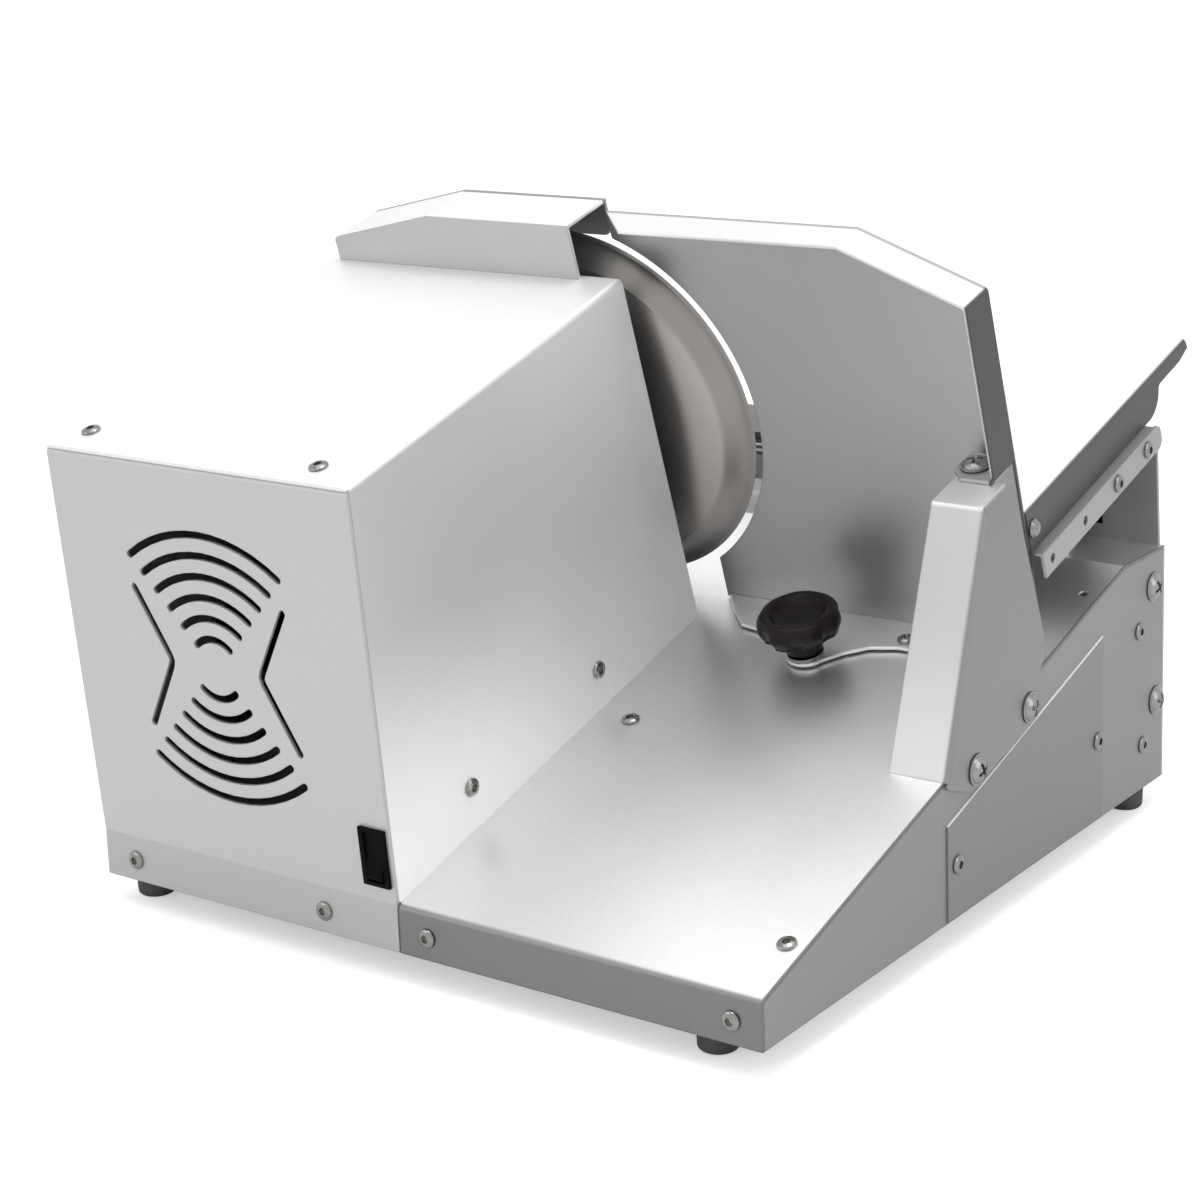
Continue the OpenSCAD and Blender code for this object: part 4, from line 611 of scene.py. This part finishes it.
def make_blade():
    """The dish: a flat disc, a rim that climbs, and a ground edge.

    The rim's height is DISH_H (0.075 (1 - cos pi t) + 0.85 sin (pi t / 2)) for t from 0 to 1 outward."""
    disc = -DISH_H - 1 * MM
    disc_r = BLADE_R - RIM_W
    t = np.linspace(0, 1, 28)
    climb = 0.15 * (1 - np.cos(pi * t)) / 2 + 0.85 * np.sin(pi * t / 2)
    front_r = disc_r + (RIM_W - EDGE_W) * t
    front = disc + DISH_H * climb
    back_r = disc_r - EDGE_W + (RIM_W - EDGE_W - 1 * MM) * t
    back = disc + BLADE_T + (DISH_H - BLADE_T + 0.8 * MM) * climb
    edge_r = [BLADE_R - 0.05 * MM] * 2
    radius = np.concatenate([FLAT_RINGS, front_r, edge_r, back_r[::-1], FLAT_RINGS[::-1]])
    height = np.concatenate([[disc] * 3, front, [-0.1 * MM, 0], back[::-1], [disc + BLADE_T] * 3])
    shape, faces = hollow_lathe(radius, height, full_turn(256))
    stand_in("ground_blade", place(shape, BLADE_AT + BLADE_U * ALONG_U, ALONG_U), faces, "blade", "blade")


KNOB_R, KNOB_LOBES, KNOB_LOW, KNOB_TOP, COLLAR_R = 25 * MM, 7, 5.1 * MM, 33 * MM, 11.5 * MM
SCALLOP_R, SCALLOP_AT = 7.5 * MM, 29.5 * MM
BLUR = (1, 2, 3, 4, 3, 2, 1)
QUARTER = 1.57


def make_knob():
    """The lobed grip: a scallop's edge lies where a ray meets its circle, and each ring has a share of it.

    A row is (radius, share of the scallops, height): collar, lower lip, wall, round rim and dish, upward."""
    turn = full_turn(280)
    away = (turn + pi / KNOB_LOBES) % (2 * pi / KNOB_LOBES) - pi / KNOB_LOBES
    under = SCALLOP_R ** 2 - (SCALLOP_AT * np.sin(away)) ** 2
    cut = np.where(under > 0, SCALLOP_AT * np.cos(away) - np.sqrt(np.maximum(under, 0)), 1.0)
    deep = KNOB_R - np.minimum(cut, KNOB_R)
    deep = sum(np.roll(deep, k) * weight for k, weight in zip(range(-3, 4), BLUR)) / sum(BLUR)
    low, top = KNOB_LOW, KNOB_TOP
    rows = [(0.70 * COLLAR_R, 0, low), (0.80 * COLLAR_R, 0, low), (0.84 * COLLAR_R, 0, low + 0.5 * MM)]
    rows += [(COLLAR_R * (0.84 + 0.16 * sin(a)), 0, low + 0.8 * MM + 5.4 * MM * (1 - cos(a)))
             for a in (0.3, 0.6, 0.9, 1.2, 1.5)]
    rows += [(COLLAR_R, 0, 15.6 * MM), (COLLAR_R * 1.04, 0, 16.2 * MM), (0.74 * KNOB_R, 0.1, 16.8 * MM),
             (0.86 * KNOB_R, 0.6, 17.4 * MM), (0.89 * KNOB_R, 0.9, 17.8 * MM), (0.90 * KNOB_R, 1, 19.4 * MM),
             (0.915 * KNOB_R, 1, 19.7 * MM)]
    rows += [(KNOB_R * (0.92 + 0.08 * sin(a)), 1 - 0.2 * a / QUARTER, (19.9 + 5.6 * a / QUARTER) * MM)
             for a in np.linspace(0.1, QUARTER, 7)]
    round_r, up_r = 5.4 * MM, 7.4 * MM
    rows += [(KNOB_R - round_r + round_r * cos(a), 0.8 - 0.76 * sin(a) ** 0.8, top - up_r + up_r * sin(a))
             for a in np.linspace(0.06, QUARTER, 11)]
    rows += [(KNOB_R * 0.72, 0.03, top - 0.3 * MM), (KNOB_R * 0.665, 0.02, top - 1.1 * MM),
             (KNOB_R * 0.63, 0.01, top - 2.4 * MM), (KNOB_R * 0.60, 0, top - 3.6 * MM),
             (KNOB_R * 0.55, 0, top - 4.3 * MM), (KNOB_R * 0.34, 0, top - 4.8 * MM),
             (KNOB_R * 0.15, 0, top - 5.0 * MM)]
    shape, faces = closed_lathe([r - deep * share for r, share, _ in rows], [z for _, _, z in rows], turn)
    stand_in("lobed_knob", place(shape, KNOB_AT, ALONG_V), faces, "knob", "clamp_knob")


RECESS_R, RECESS_H, FOOT_ROUND = 5.75 * MM, 7 * MM, 3 * MM


def make_feet():
    """Moulded feet: a wall that widens upward, a round lower edge, and a recess for the screw."""
    low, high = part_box("feet")
    top = ORIGIN[2]
    parts = []
    for points in loose_solids("feet"):
        centre = (points.max(0) + points.min(0)) / 2
        wide, deep = (points.max(0)[0] - points.min(0)[0]) / 2, top - low.z
        a = np.linspace(-pi / 2, 0, 8)
        edge_r, edge_h = wide - 0.6 * MM + FOOT_ROUND * (np.cos(a) - 1), FOOT_ROUND * (1 + np.sin(a))
        radius = [RECESS_R - 0.35 * MM, RECESS_R - 0.15 * MM, RECESS_R, *edge_r, wide - 0.35 * MM, wide,
                  wide, wide - 0.8 * MM]
        height = [RECESS_H, RECESS_H - 0.2 * MM, 0, *edge_h, deep * 0.6, deep - 2.2 * MM,
                  deep - 0.6 * MM, deep]
        shape, faces = closed_lathe(radius, height, full_turn(72))
        parts.append((place(shape, np.array([centre[0], centre[1], low.z]), (0, 0, 1)), faces))
    stand_in("moulded_feet", *joined(parts), "rubber", "feet")


def finish_nodes():
    """Each node of the frame gets the finish that NODE_FINISH names for it."""
    for finish, names in NODE_FINISH.items():
        for name in names:
            mesh = nodes[name].data
            mesh.materials.clear()
            mesh.materials.append(finishes[finish])


# Lights, floor and surroundings: each lamp has its name, place, target, size and power

LAMPS = [
    ("overhead", (0.1, -0.2, 1.7), (0, 0, 0.1), (1.6, 1.6), 8),
    ("key", (0.15, -0.15, 2.3), (0, 0, 0.1), (0.5, 0.5), 11),
    ("front_left", (-1.2, -1.6, 1.0), (0, 0, 0.15), (1.2, 1.2), 4.5),
    ("right", (1.8, 0.2, 0.9), (0, 0, 0.15), (1.0, 1.2), 4.0),
]
ROOM_LIGHT, ROOM_IN_GLOSS = 0.75, 0.86
FLOOR_REACH, FLOOR_GLOW = 6.0, 0.45


def area_light(name, at, toward, size, power):
    """A rectangular lamp that looks toward a point."""
    data = bpy.data.lights.new(name, "AREA")
    data.shape = "RECTANGLE"
    data.size, data.size_y = size
    data.energy = power
    light = bpy.data.objects.new(name, data)
    light.location = at
    light.rotation_euler = (Vector(toward) - Vector(at)).to_track_quat("-Z", "Y").to_euler()
    bpy.context.scene.collection.objects.link(light)


def make_surroundings():
    """A pale room: white where the camera or a clear reflection looks, dimmer for the light that it gives."""
    world = bpy.data.worlds.new("studio")
    bpy.context.scene.world = world
    world.use_nodes = True
    tree = world.node_tree
    background = tree.nodes["Background"]
    path = add(tree, "ShaderNodeLightPath")
    bright = add(tree, "ShaderNodeMath", operation="MAXIMUM")
    tree.links.new(path.outputs["Is Camera Ray"], bright.inputs[0])
    tree.links.new(path.outputs["Is Transmission Ray"], bright.inputs[1])
    glossy = add(tree, "ShaderNodeMath", {1: ROOM_IN_GLOSS}, operation="MULTIPLY")
    tree.links.new(path.outputs["Is Glossy Ray"], glossy.inputs[0])
    seen = add(tree, "ShaderNodeMath", operation="MAXIMUM")
    tree.links.new(bright.outputs[0], seen.inputs[0])
    tree.links.new(glossy.outputs[0], seen.inputs[1])
    strength = add(tree, "ShaderNodeMapRange", {"To Min": ROOM_LIGHT, "To Max": 1.0})
    tree.links.new(seen.outputs[0], strength.inputs["Value"])
    tree.links.new(strength.outputs["Result"], background.inputs["Strength"])
    background.inputs["Color"].default_value = (1, 1, 1, 1)


def make_floor():
    """White to the camera by its glow, and still darker where the machine shades it."""
    low = cad_box[0][2]
    corners = [(x * FLOOR_REACH, y * FLOOR_REACH, low) for x, y in ((-1, -1), (1, -1), (1, 1), (-1, 1))]
    floor = new_piece("floor", corners, [(0, 1, 2, 3)], False)
    material, tree, shader = node_material("floor_white")
    shader.inputs["Base Color"].default_value = (0.9, 0.9, 0.9, 1)
    shader.inputs["Roughness"].default_value = 0.9
    path = add(tree, "ShaderNodeLightPath")
    glow = add(tree, "ShaderNodeMath", {1: FLOOR_GLOW}, operation="MULTIPLY")
    tree.links.new(path.outputs["Is Camera Ray"], glow.inputs[0])
    shader.inputs["Emission Color"].default_value = (1, 1, 1, 1)
    tree.links.new(glow.outputs[0], shader.inputs["Emission Strength"])
    floor.data.materials.append(material)


bpy.context.scene.view_settings.view_transform = "Standard"
make_camera()
make_surroundings()
make_floor()
for lamp in LAMPS:
    area_light(*lamp)
finish_nodes()
make_blade()
make_knob()
make_feet()
for screws in BUTTON_SCREWS:
    make_screws(screws, button_screw, "bright")
for screws in PAN_SCREWS:
    make_screws(screws, pan_screw, "satin")
